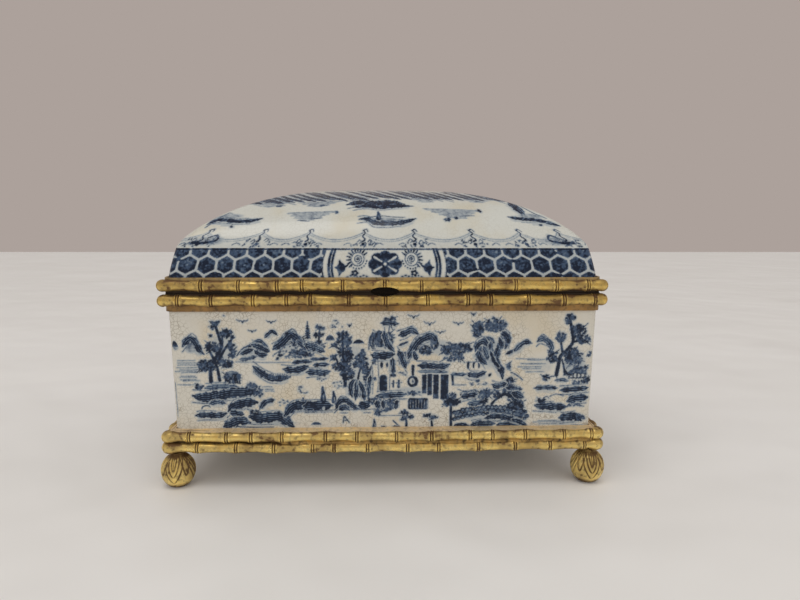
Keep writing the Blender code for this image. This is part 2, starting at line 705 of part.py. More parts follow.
GLAZE = make_material("glazed_porcelain", (0.66, 0.65, 0.60), 0.16, 0.0)
BAND_BRASS = make_material("band_brass", (0.40, 0.28, 0.12), 0.42, 1.0)
BAMBOO_BRASS = make_material("bamboo_brass", (0.55, 0.38, 0.13), 0.34, 1.0)
BASE_BRASS = make_material("base_brass", (0.42, 0.31, 0.15), 0.48, 1.0)
FOOT_BRASS = make_material("foot_brass", (0.50, 0.35, 0.12), 0.32, 1.0)
HINGE_BRASS = make_material("hinge_brass", (0.48, 0.33, 0.13), 0.38, 1.0)
RIVET_BRASS = make_material("rivet_brass", (0.52, 0.37, 0.15), 0.36, 1.0)
STEEL = make_material("steel", (0.42, 0.41, 0.40), 0.38, 1.0)

RIM_SECTION = bar_section("rim_bar_section", RIM_BAR_RADIUS, 0, RIM_SECTION_STEPS)
BASE_SECTION = bar_section("base_bar_section", BASE_BAR_RADIUS, BASE_BAR_STANDOFF, BASE_SECTION_STEPS)
NOTCH = notch_cutter()

make_body()
make_lid()
body_band = make_band("body_band", BODY_BAND_TOP, -1, BODY_BAND_HEIGHT, BODY_LIP_INSET)
lid_band = make_band("lid_band", LID_BAND_BOTTOM, 1, LID_BAND_HEIGHT, LID_LIP_INSET)
ride_on_lid(lid_band)
make_rim_bars("body", PARTING_Z - RIM_BAR_RISE, BODY_FRONT_JOINT_SHARES)
for bar in make_rim_bars("lid", PARTING_Z + RIM_BAR_RISE, LID_FRONT_JOINT_SHARES):
    ride_on_lid(bar)
make_base_frame()
make_base_bars("upper", UPPER_BAR_Z, UPPER_FRONT_JOINT_SHARES)
make_base_bars("lower", LOWER_BAR_Z, LOWER_FRONT_JOINT_SHARES)
make_feet()
make_hinge("left", -HINGE_SPACING / 2, body_band, lid_band)
make_hinge("right", HINGE_SPACING / 2, body_band, lid_band)
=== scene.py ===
"""A porcelain storage box with a domed lid, bound in bamboo-shaped brass bars on four ball feet.

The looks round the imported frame, in metres and in the order in which the box is put together. The pictures
in the glaze are laid out in millimetres, across from the middle of each side and up from the table.
"""

import math
import random

import bpy
import numpy as np
from mathutils import Matrix, Vector


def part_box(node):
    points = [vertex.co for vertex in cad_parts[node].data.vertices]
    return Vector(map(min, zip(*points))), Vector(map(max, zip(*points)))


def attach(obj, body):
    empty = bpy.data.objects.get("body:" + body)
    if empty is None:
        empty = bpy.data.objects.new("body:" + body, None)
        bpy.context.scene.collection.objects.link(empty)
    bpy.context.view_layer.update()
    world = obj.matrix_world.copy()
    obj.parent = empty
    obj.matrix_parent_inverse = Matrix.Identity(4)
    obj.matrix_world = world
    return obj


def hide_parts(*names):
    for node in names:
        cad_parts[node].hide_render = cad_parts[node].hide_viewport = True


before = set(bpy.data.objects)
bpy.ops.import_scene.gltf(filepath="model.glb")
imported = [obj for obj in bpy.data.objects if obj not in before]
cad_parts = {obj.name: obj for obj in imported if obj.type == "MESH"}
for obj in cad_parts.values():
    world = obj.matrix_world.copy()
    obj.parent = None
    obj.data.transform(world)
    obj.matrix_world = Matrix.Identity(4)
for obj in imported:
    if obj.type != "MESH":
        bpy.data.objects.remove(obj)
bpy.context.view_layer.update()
MM = 0.001


# Ball feet: four cast brass balls with nested leaves chased into them, each screwed to a corner of the base
# frame by a steel stud. They stand on a small flat. Dirt sits in the chasing, and painted shade darkens each
# ball round its neck, under the frame, and towards its pad on the table.


def feed(tree, node, inputs):
    """Gives a node its inputs, each named or numbered, as a value or as another node's output."""
    for key, value in inputs.items():
        if isinstance(value, bpy.types.NodeSocket):
            tree.links.new(value, node.inputs[key])
        else:
            node.inputs[key].default_value = value


def add_node(tree, kind, inputs=None, **settings):
    made = tree.nodes.new(kind)
    for name, value in settings.items():
        setattr(made, name, value)
    feed(tree, made, inputs or {})
    return made


def calc(tree, operation, first, second=0.0, third=0.0):
    return add_node(tree, "ShaderNodeMath", {0: first, 1: second, 2: third}, operation=operation).outputs[0]


def mingle(tree, share, first, second, blend="MIX"):
    inputs = {0: share, 6: first, 7: second}
    return add_node(tree, "ShaderNodeMix", inputs, data_type="RGBA", blend_type=blend).outputs[2]


def speckle(tree, where, scale, detail=2.0):
    return add_node(tree, "ShaderNodeTexNoise", {"Vector": where, "Scale": scale, "Detail": detail}).outputs["Fac"]


def ease(tree, value, low, high):
    """From 0 at low to 1 at high, with a soft start and end."""
    inputs = {0: value, 1: low, 2: high}
    return add_node(tree, "ShaderNodeMapRange", inputs, interpolation_type="SMOOTHSTEP").outputs[0]


def own_place(tree):
    return add_node(tree, "ShaderNodeTexCoord").outputs["Object"]


def mark_of(tree, name):
    """What the mesh itself says at each of its points under this name."""
    return add_node(tree, "ShaderNodeAttribute", attribute_name=name).outputs["Fac"]


def relief(tree, height, strength, distance):
    return add_node(tree, "ShaderNodeBump", {"Height": height, "Strength": strength, "Distance": distance}).outputs[0]


def open_group(name, inputs, outputs):
    """A shader node group with these sockets, and its two end nodes."""
    group = bpy.data.node_groups.new(name, "ShaderNodeTree")
    for socket, value in inputs.items():
        kind = "Color" if isinstance(value, tuple) else "Float"
        made = group.interface.new_socket(socket, in_out="INPUT", socket_type=f"NodeSocket{kind}")
        made.default_value = value
    for socket, kind in outputs.items():
        group.interface.new_socket(socket, in_out="OUTPUT", socket_type=f"NodeSocket{kind}")
    return group, group.nodes.new("NodeGroupInput").outputs, group.nodes.new("NodeGroupOutput")


WHITE = (1, 1, 1, 1)


def make_aged_brass():
    """Cast brass gone brown in hollows, in clouds and in painted shade, with bright metal back where hands rub it."""
    group, given, ends = open_group(
        "aged_brass", {"Bright": WHITE, "Brown": WHITE, "Hollow And Shade": 0.0, "Age": 0.4},
        {"Colour": "Color", "Metal": "Float", "Dull": "Float", "Height": "Float"},
    )
    where = own_place(group)
    clouds, blotches, pits = (speckle(group, where, *size) for size in ((70, 3), (330, 4), (1900, 2)))
    aged = calc(group, "MULTIPLY", ease(group, clouds, 0.36, 0.66), given["Age"])
    spots = calc(group, "MULTIPLY", ease(group, blotches, 0.47, 0.72), given["Age"])
    # Dirt in the hollows and painted shade brown the brass alike.
    dirt_and_shade = calc(group, "ADD", calc(group, "ADD", aged, spots), given["Hollow And Shade"])
    dirt_and_shade = calc(group, "MINIMUM", dirt_and_shade, 1.0)
    warmth = mingle(group, ease(group, blotches, 0.3, 0.6), (1, 0.93, 0.8, 1), WHITE)
    bright = mingle(group, 1.0, given["Bright"], warmth, "MULTIPLY")
    feed(group, ends, {
        "Colour": mingle(group, dirt_and_shade, bright, given["Brown"]),
        "Metal": calc(group, "SUBTRACT", 0.94, calc(group, "MULTIPLY", dirt_and_shade, 0.55)),
        "Dull": calc(group, "MULTIPLY_ADD", dirt_and_shade, 0.3, calc(group, "MULTIPLY", pits, 0.12)),
        "Height": calc(group, "MULTIPLY_ADD", pits, 0.35, blotches),
    })
    return group


AGED_BRASS = make_aged_brass()
FINE_BUMP = 0.00012


def new_material(name):
    """A material whose nodes are all still to make, its Principled shader and its tree."""
    material = bpy.data.materials.new(name)
    material.use_nodes = True
    return material, material.node_tree.nodes["Principled BSDF"], material.node_tree


def brass_finish(name, bright, brown, age, roughness, hollow_and_shade=0.0):
    """Brass in one state of wear. The dirt in its hollows, with any painted shade, is a number, a function that adds
    nodes for it, or None, where the mesh says by itself how deep each point lies and where it is shaded."""
    material, shader, tree = new_material(name)
    if hollow_and_shade is None:
        hollow_and_shade = mark_of(tree, "hollow_and_shade")
    elif callable(hollow_and_shade):
        hollow_and_shade = hollow_and_shade(tree)
    inputs = {"Bright": (*bright, 1), "Brown": (*brown, 1), "Hollow And Shade": hollow_and_shade, "Age": age}
    brass = add_node(tree, "ShaderNodeGroup", inputs, node_tree=AGED_BRASS).outputs
    feed(tree, shader, {
        "Base Color": brass["Colour"], "Metallic": brass["Metal"],
        "Roughness": calc(tree, "ADD", brass["Dull"], roughness),
        "Normal": relief(tree, brass["Height"], 0.5, FINE_BUMP),
    })
    return material


FOOT_BRASS = brass_finish("foot_brass", (0.99, 0.78, 0.295), (0.15, 0.085, 0.031), 0.55, 0.24, None)


def put_in(name, data):
    made = bpy.data.objects.new(name, data)
    bpy.context.scene.collection.objects.link(made)
    return made


def belong(piece, body, solid=None):
    """Says which body a piece moves with, and which plain solid it stands for, which it hides."""
    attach(piece, body)
    if solid:
        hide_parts(solid)


def keep_crisp(data, crease):
    """Smooth shading, but for edges sharper than the crease in degrees."""
    data.shade_smooth()
    data.set_sharp_from_angle(angle=math.radians(crease))


def mesh_piece(name, points, faces, material, body, marks=None, crease=40, solid=None):
    """A finished piece: points in metres, and what each of them says of itself under each mark."""
    data = bpy.data.meshes.new(name)
    data.from_pydata(np.asarray(points, float).tolist(), [], faces)
    for mark, values in (marks or {}).items():
        layer = data.attributes.new(mark, "FLOAT", "POINT")
        layer.data.foreach_set("value", np.asarray(values, np.float32))
    data.materials.append(material)
    keep_crisp(data, crease)
    belong(put_in(name, data), body, solid)


def round_faces(numbers):
    """Quads between each row of point numbers and the next, where each row runs round and closes on itself."""
    after = np.roll(numbers, -1, axis=1)
    quads = np.stack([numbers[:-1], after[:-1], after[1:], numbers[1:]], axis=-1)
    return [tuple(quad) for quad in quads.reshape(-1, 4).tolist()]


def grid_numbers(rows, columns):
    return np.arange(rows * columns).reshape(rows, columns)


FOOT_ROWS = 84
FOOT_COLUMNS = 132
FOOT_HEIGHT = 0.0223
BALL_HEIGHT = 0.0206
BALL_RADIUS = 0.0108
PAD_RADIUS = 0.0051
NECK_RADIUS = 0.0048
NECK_WAIST = 0.86
CHASING_DEPTH = 0.00075
CHASING_WIDTH_MM = 0.42
BALL_UNEVEN = 0.012
# Painted shade: the ball darkens towards its neck, under the frame, and towards its pad on the table.
NECK_SHADE = (0.0182, 0.0204)
PAD_SHADE = (0.0040, 0.0015)
LEAVES = (  # each leaf's turn from the middle one, and in mm its tip's height, its half width and its length
    (0.0, 4.2, 5.5, 9.0), (0.0, 8.4, 3.2, 6.0), (0.0, 12.0, 1.7, 5.0),
    (0.785, 8.8, 2.6, 8.0), (-0.785, 8.8, 2.6, 8.0),
)


def slope(values, low, high):
    """From 0 at low to 1 at high, in a straight line."""
    return np.clip((values - low) / (high - low), 0, 1)


def chasing(turn, height):
    """How deep the nested leaves are cut, from 0 to 1, at a turn from the leaf's middle and a height in mm."""
    depth = np.zeros_like(height)
    for lean, tip, half, length in LEAVES:
        aside = np.abs(turn - lean) * BALL_RADIUS / MM
        edge = half * (np.clip(height - tip, 0, None) / length) ** 0.65
        line = np.exp(-(((aside - edge) / CHASING_WIDTH_MM) ** 2)) * slope(height, tip - 0.5, tip + 0.7)
        depth = np.maximum(depth, line)
    vein = np.exp(-((np.abs(turn) * BALL_RADIUS / MM / 0.3) ** 2)) * slope(height, 10, 13)
    return np.maximum(depth, 0.7 * vein)


def make_foot(place):
    """A ball turned up to its neck, with the leaves cut in on four sides."""
    low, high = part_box(f"foot_{place}")
    x, y = (low.x + high.x) / 2, (low.y + high.y) / 2
    top, bottom = math.acos(NECK_RADIUS / BALL_RADIUS), -math.acos(PAD_RADIUS / BALL_RADIUS)
    angle = np.linspace(bottom, top, FOOT_ROWS - 2)
    rise = (np.sin(angle) - np.sin(bottom)) / (np.sin(top) - np.sin(bottom))
    radius = np.concatenate([BALL_RADIUS * np.cos(angle), [NECK_RADIUS * NECK_WAIST, NECK_RADIUS]])
    height = np.concatenate([BALL_HEIGHT * rise, [(BALL_HEIGHT + FOOT_HEIGHT) / 2, FOOT_HEIGHT]])
    turns, heights = np.meshgrid(np.linspace(0, 2 * math.pi, FOOT_COLUMNS, endpoint=False), height)
    from_leaf = (turns + math.pi / 4) % (math.pi / 2) - math.pi / 4
    cut = chasing(from_leaf, heights / MM) * slope(BALL_HEIGHT - heights, 0, 2 * MM)
    wave = 1 + BALL_UNEVEN * np.sin(3 * turns + x * 900) * np.sin(heights / BALL_HEIGHT * math.pi)
    radii = radius[:, None] * wave - CHASING_DEPTH * cut
    # The chased hollows hold dirt; the neck and pad terms are painted shade.
    hollow_and_shade = np.clip(cut * 0.95 + 0.8 * slope(heights, *NECK_SHADE) + 0.8 * slope(heights, *PAD_SHADE), 0, 1)
    points = np.stack([x + radii * np.cos(turns), y + radii * np.sin(turns), heights], axis=-1).reshape(-1, 3)
    numbers = grid_numbers(FOOT_ROWS, FOOT_COLUMNS)
    faces = [tuple(numbers[0, ::-1].tolist()), *round_faces(numbers), tuple(numbers[-1].tolist())]
    marks = {"hollow_and_shade": hollow_and_shade.ravel()}
    mesh_piece(f"ball_{place}", points, faces, FOOT_BRASS, "box", marks, solid=f"foot_{place}")


CORNERS = ("front_left", "front_right", "back_left", "back_right")
for place in CORNERS:
    make_foot(place)


def steel_finish():
    """Plain turned steel, dulled in clouds."""
    material, shader, tree = new_material("dull_steel")
    cloud = speckle(tree, own_place(tree), 240, 3)
    feed(tree, shader, {
        "Base Color": mingle(tree, cloud, (0.30, 0.29, 0.27, 1), (0.46, 0.45, 0.43, 1)), "Metallic": 1.0,
        "Roughness": calc(tree, "MULTIPLY_ADD", cloud, 0.25, 0.25),
    })
    return material


STEEL = steel_finish()


def dress(material, *nodes):
    """Gives CAD nodes that keep their own shape the finish of the real piece."""
    for node in nodes:
        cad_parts[node].data.materials.clear()
        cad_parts[node].data.materials.append(material)


dress(STEEL, *(f"foot_stud_{place}" for place in CORNERS))


# Base frame: a brass angle round the porcelain's foot. Its top is a matt, sloping ledge that was filed by
# hand, a little wider in the middle of each side, where the bars bow out. Lacquer browned on the rest of it.

BASE_BRASS = brass_finish("base_brass", (0.50, 0.36, 0.17), (0.07, 0.042, 0.018), 0.7, 0.38)
LEDGE_BRASS = brass_finish("ledge_brass", (0.95, 0.79, 0.52), (0.46, 0.34, 0.21), 0.6, 0.48)
dress(BASE_BRASS, "base_frame")

SEAT_HALF = (0.135762, 0.093262)
BAR_OFFSET = 0.0016
BAR_BOW = 0.0020
FILE_WAVE = 0.00012
LEDGE_INSIDE = 0.0023
LEDGE_RISE = 0.0007
LEDGE_LIP = 0.0007
LEDGE_DROP = 0.0022
LEDGE_STEPS = 40


def quarter_turn(x, y, quarter):
    """The same place on another side of the box: 0 front, 1 right, 2 back, 3 left."""
    return ((x, y), (-y, x), (-x, -y), (y, -x))[quarter]


def side_sizes(quarter, half):
    """Half the length of a side and how far it lies from the middle, of half the box's length and depth."""
    return half if quarter % 2 == 0 else half[::-1]


def make_ledge():
    """A closed strip round the box, whose outer edge follows the bow of the bars that it is brazed to."""
    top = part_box("base_frame")[1].z
    points = []
    for depth in range(4):
        for quarter in range(4):
            along, across = side_sizes(quarter, SEAT_HALF)
            for step in range(LEDGE_STEPS):
                share = 2 * step / LEDGE_STEPS - 1
                out = reach = -LEDGE_INSIDE
                if depth in (1, 2):
                    out, reach = BAR_OFFSET + BAR_BOW * (1 - share**2), BAR_OFFSET
                wave = FILE_WAVE * math.sin(share * 23 + quarter)
                height = (LEDGE_RISE + wave, wave - LEDGE_LIP, -LEDGE_DROP, -LEDGE_DROP)[depth]
                place = quarter_turn(share * (along + reach), -(across + out), quarter)
                points.append((*place, top + height))
    faces = round_faces(grid_numbers(4, 4 * LEDGE_STEPS)[[0, 3, 2, 1, 0]])
    mesh_piece("base_ledge", points, faces, LEDGE_BRASS, "box", crease=30)


make_ledge()


# Bamboo bars: solid brass rods cast like bamboo canes, with two cut lines and raised rings at each joint and
# thinner between, worked over by hand. Eight are brazed round the base and twelve on the two rims.


def gap_to(tree, height, level):
    return calc(tree, "ABSOLUTE", calc(tree, "SUBTRACT", height, level))


def own_height(tree):
    return add_node(tree, "ShaderNodeSeparateXYZ", {0: own_place(tree)}).outputs["Z"]


# Painted shade along the upper and lower edges of the bars: how much it wavers, where it starts and ends, how dark.
SHADE_STRAY = 0.0022
EDGE_SHADE = (0.0013, 0.0034)
EDGE_SHADE_SHARE = 0.52


def wavering(tree, distance, scale):
    """The distance, a millimetre more or less from place to place."""
    stray = calc(tree, "MULTIPLY_ADD", speckle(tree, own_place(tree), scale, 3), SHADE_STRAY, -SHADE_STRAY / 2)
    return calc(tree, "ADD", distance, stray)


def cane_shade_and_dirt(middle, spread):
    """Adds painted shade along the edges of two bars, whose middles lie this far above and below a height."""

    def add(tree):
        aside = gap_to(tree, gap_to(tree, own_height(tree), middle), spread)
        edge = ease(tree, wavering(tree, aside, 190), *EDGE_SHADE)
        return calc(tree, "MULTIPLY_ADD", edge, EDGE_SHADE_SHARE, mark_of(tree, "hollow_and_shade"))

    return add


def make_bamboo_tree():
    """Sweeps a round bar, ground flat where it seats, along a line of points with their own girth."""
    tree = bpy.data.node_groups.new("bamboo_bar", "GeometryNodeTree")
    sockets = (
        ("Line", "Geometry", None), ("Bar Radius", "Float", 0.0038), ("Seat Offset", "Float", 0.0),
        ("Section Turn", "Float", math.pi), ("Section Points", "Int", 15), ("Hammering", "Float", 0.0001),
        ("Hammer Marks", "Float", 300.0), ("Seed", "Float", 0.0), ("Finish", "Material", None),
    )
    for name, kind, value in sockets:
        made = tree.interface.new_socket(name, in_out="INPUT", socket_type=f"NodeSocket{kind}")
        if value is not None:
            made.default_value = value
    tree.interface.new_socket("Bar", in_out="OUTPUT", socket_type="NodeSocketGeometry")
    given = tree.nodes.new("NodeGroupInput").outputs

    def shape(kind, inputs, **settings):
        return add_node(tree, f"GeometryNode{kind}", inputs, **settings).outputs[0]

    line = shape("SetCurveNormal", {"Curve": shape("MeshToCurve", {"Mesh": given["Line"]})}, mode="Z_UP")
    section = shape("CurveArc", {
        "Resolution": given["Section Points"], "Radius": given["Bar Radius"],
        "Start Angle": calc(tree, "MULTIPLY", given["Section Turn"], -0.5), "Sweep Angle": given["Section Turn"],
    }, mode="RADIUS")
    shift = add_node(tree, "ShaderNodeCombineXYZ", {"X": given["Seat Offset"]}).outputs[0]
    section = shape("SetPosition", {"Geometry": section, "Offset": shift})
    section = shape("SetSplineCyclic", {"Geometry": section, "Cyclic": True})
    girth = shape("InputNamedAttribute", {"Name": "girth"}, data_type="FLOAT")
    bar = shape("CurveToMesh", {"Curve": line, "Profile Curve": section, "Scale": girth, "Fill Caps": True})
    inputs = {"Scale": given["Hammer Marks"], "Detail": 2.0, "W": given["Seed"]}
    marks = add_node(tree, "ShaderNodeTexNoise", inputs, noise_dimensions="4D").outputs["Fac"]
    depth = calc(tree, "MULTIPLY", calc(tree, "SUBTRACT", marks, 0.5), given["Hammering"])
    inputs = {0: shape("InputNormal", {}), "Scale": depth}
    push = add_node(tree, "ShaderNodeVectorMath", inputs, operation="SCALE").outputs[0]
    bar = shape("SetPosition", {"Geometry": bar, "Offset": push})
    bar = shape("RealizeInstances", {"Geometry": bar})
    bar = shape("SetMaterial", {"Geometry": bar, "Material": given["Finish"]})
    tree.links.new(bar, tree.nodes.new("NodeGroupOutput").inputs[0])
    return tree


BAMBOO = make_bamboo_tree()
QUARTER_OF = {"front": 0, "right": 1, "back": 2, "left": 3}
STATION_STEP = 0.0014
JOINT_STEP = 0.00019
JOINT_REACH = 0.0029
JOINT_CLEAR = 0.003
LINE_MM, LINE_WIDTH_MM = 0.75, 0.27
RING_MM, RING_WIDTH_MM = 1.65, 0.42
KNOB_MM = 3.0
GIRTH, WAIST, UNEVEN = 1.04, 0.225, 0.018
RING_SWELL, LINE_CUT = 0.045, 0.15
SWAY, FINE_SWAY = 0.00016, 0.0001
BAR_SECTION = 17
CORNER_ARC = [math.radians(angle) for angle in (-134.0, -129, -122, -114, -106, -98)]


def bell(distance, width):
    return math.exp(-((distance / width) ** 2))


def cane_line(half, corner, z, joints, side, ends, bow, knob, seed):
    """Stations along one bar from left to right as seen from outside, with how thick and how dirty each is."""
    hand = random.Random(seed)
    along, across = side_sizes(QUARTER_OF[side], half)
    low = corner - along if ends[0] is None else ends[0]
    high = along - corner if ends[1] is None else ends[1]
    joints = [x for x in joints if low + JOINT_CLEAR < x < high - JOINT_CLEAR]
    stations = set(np.linspace(low, high, int((high - low) / STATION_STEP) + 1).round(7))
    for joint in joints:
        near = np.arange(-JOINT_REACH, JOINT_REACH, JOINT_STEP) + joint
        stations = {x for x in stations if abs(x - joint) > JOINT_REACH} | set(near.round(7))
    places = [(x, -across) for x in sorted(stations) if low <= x <= high]
    bend = [(corner * math.cos(a), -across + corner + corner * math.sin(a)) for a in CORNER_ARC]
    if ends[0] is None:
        places = [(low + x, y) for x, y in bend] + places
    if ends[1] is None:
        places += [(high - x, y) for x, y in reversed(bend)]
    first, last = places[0][0], places[-1][0]
    phases = [hand.uniform(0, 6.28) for _ in range(4)]
    points, girths, hollows = [], [], []
    strengths = [hand.uniform(0.75, 1.15) for _ in joints]
    for x, y in places:
        gap, strength = min(((abs(x - joint) / MM, much) for joint, much in zip(joints, strengths)), default=(99, 1))
        lines, rings = bell(gap - LINE_MM, LINE_WIDTH_MM), bell(gap - RING_MM, RING_WIDTH_MM)
        before = max([joint for joint in joints if joint <= x], default=first)
        after = min([joint for joint in joints if joint > x], default=last)
        waist = 1 - (2 * (x - before) / max(after - before, 1e-6) - 1) ** 2
        drift = math.sin(x * 190 + phases[0]) * math.sin(x * 71 + phases[1])
        girth = GIRTH - WAIST * max(0.0, waist) + UNEVEN * drift + strength * (RING_SWELL * rings - LINE_CUT * lines)
        girth += (knob - girth) * bell(min(x - first, last - x) / MM, KNOB_MM)
        sway = SWAY * math.sin(x * 62 + phases[2]) + FINE_SWAY * math.sin(x * 143 + phases[3])
        bowed = bow * (1 - (x / along) ** 2)
        points.append((*quarter_turn(x, y - bowed, QUARTER_OF[side]), z + sway))
        girths.append(girth)
        hollows.append(min(1.0, 1.1 * lines * strength + 0.16 * max(0, -drift) - 0.3 * rings))
    return points, girths, hollows


def plain_mesh(source):
    """What an object's modifiers make of it, as a mesh of its own."""
    bpy.context.view_layer.update()
    return bpy.data.meshes.new_from_object(source.evaluated_get(bpy.context.evaluated_depsgraph_get()))


def grow_bar(name, line, radius, seat_offset, finish, hammering, seed, hammer_marks=300.0):
    """Runs the bamboo tree over one line of stations and keeps the result as a plain mesh."""
    points, girths, hollows = line
    data = bpy.data.meshes.new(f"{name}_line")
    data.from_pydata(points, [(i, i + 1) for i in range(len(points) - 1)], [])
    for mark, values in (("girth", girths), ("hollow_and_shade", hollows)):
        data.attributes.new(mark, "FLOAT", "POINT").data.foreach_set("value", values)
    guide = put_in(f"{name}_line", data)
    tree = guide.modifiers.new("bamboo", "NODES")
    tree.node_group = BAMBOO
    sizes = {
        "Bar Radius": radius, "Seat Offset": seat_offset, "Section Turn": 2 * math.acos(-seat_offset / radius),
        "Section Points": BAR_SECTION, "Hammering": hammering, "Hammer Marks": hammer_marks, "Seed": float(seed),
        "Finish": finish,
    }
    for item in BAMBOO.interface.items_tree:
        if item.in_out == "INPUT" and item.name in sizes:
            tree[item.identifier] = sizes[item.name]
    grown = plain_mesh(guide)
    bpy.data.objects.remove(guide)
    grown.name = name
    keep_crisp(grown, 50)
    return put_in(name, grown)


BASE_BAR_RADIUS = 0.0034
BASE_BAR_HALF = tuple(half + 0.0003 for half in SEAT_HALF)
BASE_CORNER = 0.0003
BASE_KNOB = 1.13
SIDE_JOINTS = (0.09, 0.20, 0.33, 0.41, 0.54, 0.66, 0.79, 0.90)
BASE_JOINTS = {
    "lower": (0.080, 0.167, 0.251, 0.338, 0.386, 0.461, 0.551, 0.621, 0.711, 0.795, 0.875, 0.955),
    "upper": (0.063, 0.146, 0.201, 0.270, 0.367, 0.437, 0.526, 0.605, 0.692, 0.743, 0.817, 0.907, 0.970),
}
BASE_LEVELS = [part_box(f"base_{layer}_bar_front")[0].z + BASE_BAR_RADIUS for layer in BASE_JOINTS]
# The base bars' painted edge shade, added to the dirt in their cut lines.
BASE_SHADE_AND_DIRT = cane_shade_and_dirt(sum(BASE_LEVELS) / 2, (BASE_LEVELS[1] - BASE_LEVELS[0]) / 2)
BASE_BAR_BRASS = brass_finish("base_bar_brass", (0.98, 0.77, 0.285), (0.16, 0.086, 0.031), 0.56, 0.21, BASE_SHADE_AND_DIRT)


def joint_places(front_shares, quarter, half, reach):
    """Where the joints lie on one side, from their shares of the front bar's length; the ends have their own."""
    shares = front_shares if quarter % 2 == 0 else SIDE_JOINTS
    return [(2 * share - 1) * (side_sizes(quarter, half)[0] + reach) for share in shares]


def make_base_bars():
    """Two rows of bars round the base, mitred at its corners and bowed out in the middle of each side."""
    for seed, (layer, front_shares) in enumerate(BASE_JOINTS.items()):
        for side, quarter in QUARTER_OF.items():
            solid = f"base_{layer}_bar_{side}"
            low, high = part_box(solid)
            joints = joint_places(front_shares, quarter, BASE_BAR_HALF, BAR_OFFSET + BASE_BAR_RADIUS)
            line = cane_line(BASE_BAR_HALF, BASE_CORNER, (low.z + high.z) / 2, joints, side, (None, None),
                             BAR_BOW, BASE_KNOB, 10 * seed + quarter)
            bar = grow_bar(f"cane_{solid}", line, BASE_BAR_RADIUS, BAR_OFFSET, BASE_BAR_BRASS, 0.0003, seed + quarter)
            belong(bar, "box", solid)


make_base_bars()


# Braze between the two base bars: hard solder run in roughly, which fills the groove in lumps and leaves it
# open and dark at the left end of each side.

BRAZE = brass_finish("braze", (0.62, 0.42, 0.15), (0.075, 0.042, 0.014), 0.75, 0.34)
BRAZE_RADIUS = 0.0021
BRAZE_OUT = 0.0007
BRAZE_FROM, BRAZE_TO = -0.50, 0.985
BRAZE_STATIONS = 160
BRAZE_DIRT = 0.2


def make_braze():
    """One lumpy bead in the groove of each side, tapered at its ends."""
    z = (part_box("base_lower_bar_front")[1].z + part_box("base_upper_bar_front")[0].z) / 2
    for side, quarter in QUARTER_OF.items():
        hand = random.Random(40 + quarter)
        along, across = side_sizes(quarter, SEAT_HALF)
        points, girths = [], []
        phase = hand.uniform(0, 6.28)
        for x in np.linspace(BRAZE_FROM * along, BRAZE_TO * along, BRAZE_STATIONS):
            y = -(across + BAR_OFFSET + BRAZE_OUT + BAR_BOW * (1 - (x / along) ** 2))
            points.append((*quarter_turn(x, y, quarter), z + 0.0002 * math.sin(x * 200 + phase)))
            girths.append(0.72 + 0.2 * math.sin(x * 310 + phase) * math.sin(x * 127) + 0.12 * hand.uniform(-1, 1))
        girths[0] = girths[-1] = 0.3
        line = (points, girths, [BRAZE_DIRT] * BRAZE_STATIONS)
        bar = grow_bar(f"base_braze_{side}", line, BRAZE_RADIUS, 0.0, BRAZE, 0.0007, quarter, 500.0)
        belong(bar, "box")


make_braze()


# Rims: a brass channel over each porcelain rim, with half-round bamboo bars brazed on it. Painted shade darkens
# the gap between the two rims and the body's band under its bars. The front bars are filed away in the middle for
# a fingertip, and a near-black sheet paints the deep shade at the back of the notch.

PARTING_Z = 0.12485
# Painted shade in the gap between the two rims.
PARTING_SHADE = (0.0008, 0.0036)


def parting_shade(tree):
    """Nodes for the painted shade, a black line in the gap where the two bands meet, which wavers along the rim."""
    gap = gap_to(tree, own_height(tree), PARTING_Z)
    return calc(tree, "SUBTRACT", 1.0, ease(tree, wavering(tree, gap, 150), *PARTING_SHADE))


RIM_SPREAD = 0.0046
# The rim bars' painted edge shade sits a little high, so each bar is darker on its lower edge than on its top.
RIM_SHADE_RISE = 0.0002
RIM_SHADE_AND_DIRT = cane_shade_and_dirt(PARTING_Z + RIM_SHADE_RISE, RIM_SPREAD)
BAND_BROWN = (0.032, 0.019, 0.010)
BAMBOO_BRASS = brass_finish("bamboo_brass", (0.83, 0.62, 0.205), (0.14, 0.072, 0.027), 0.62, 0.22, RIM_SHADE_AND_DIRT)
# Painted shade: the body band, under the bars, is a darker copy of the lid band's brass.
dress(brass_finish("shaded_body_band_brass", (0.43, 0.265, 0.108), BAND_BROWN, 0.40, 0.36, parting_shade), "body_band")
dress(brass_finish("lid_band_brass", (0.56, 0.42, 0.21), BAND_BROWN, 0.35, 0.36, parting_shade), "lid_band")

RIM_RADIUS = 0.0038
RIM_OFFSET = 0.0010
RIM_HALF = (0.1358, 0.0933)
RIM_CORNER = 0.0004
RIM_KNOB = 0.99
NOTCH_LENGTH = 0.018
NOTCH_HEIGHT = 0.0062
NOTCH_Z = 0.1258
NOTCH_FRONT = -0.11
NOTCH_BACK = -0.0928
NOTCH_TURNS = 40
HINGE_ENDS = (0.0863, 0.0637)
RIM_SPANS = {
    "front": ("front", None, None), "right": ("right", None, None), "left": ("left", None, None),
    "back_right": ("back", None, -HINGE_ENDS[0]), "back_middle": ("back", -HINGE_ENDS[1], HINGE_ENDS[1]),
    "back_left": ("back", HINGE_ENDS[0], None),
}
LID_JOINTS = (0.100, 0.181, 0.265, 0.319, 0.408, 0.500, 0.581, 0.665, 0.717, 0.790, 0.881, 0.952)
BODY_JOINTS = (0.048, 0.121, 0.212, 0.285, 0.337, 0.421, 0.502, 0.595, 0.684, 0.735, 0.819, 0.899, 0.968)


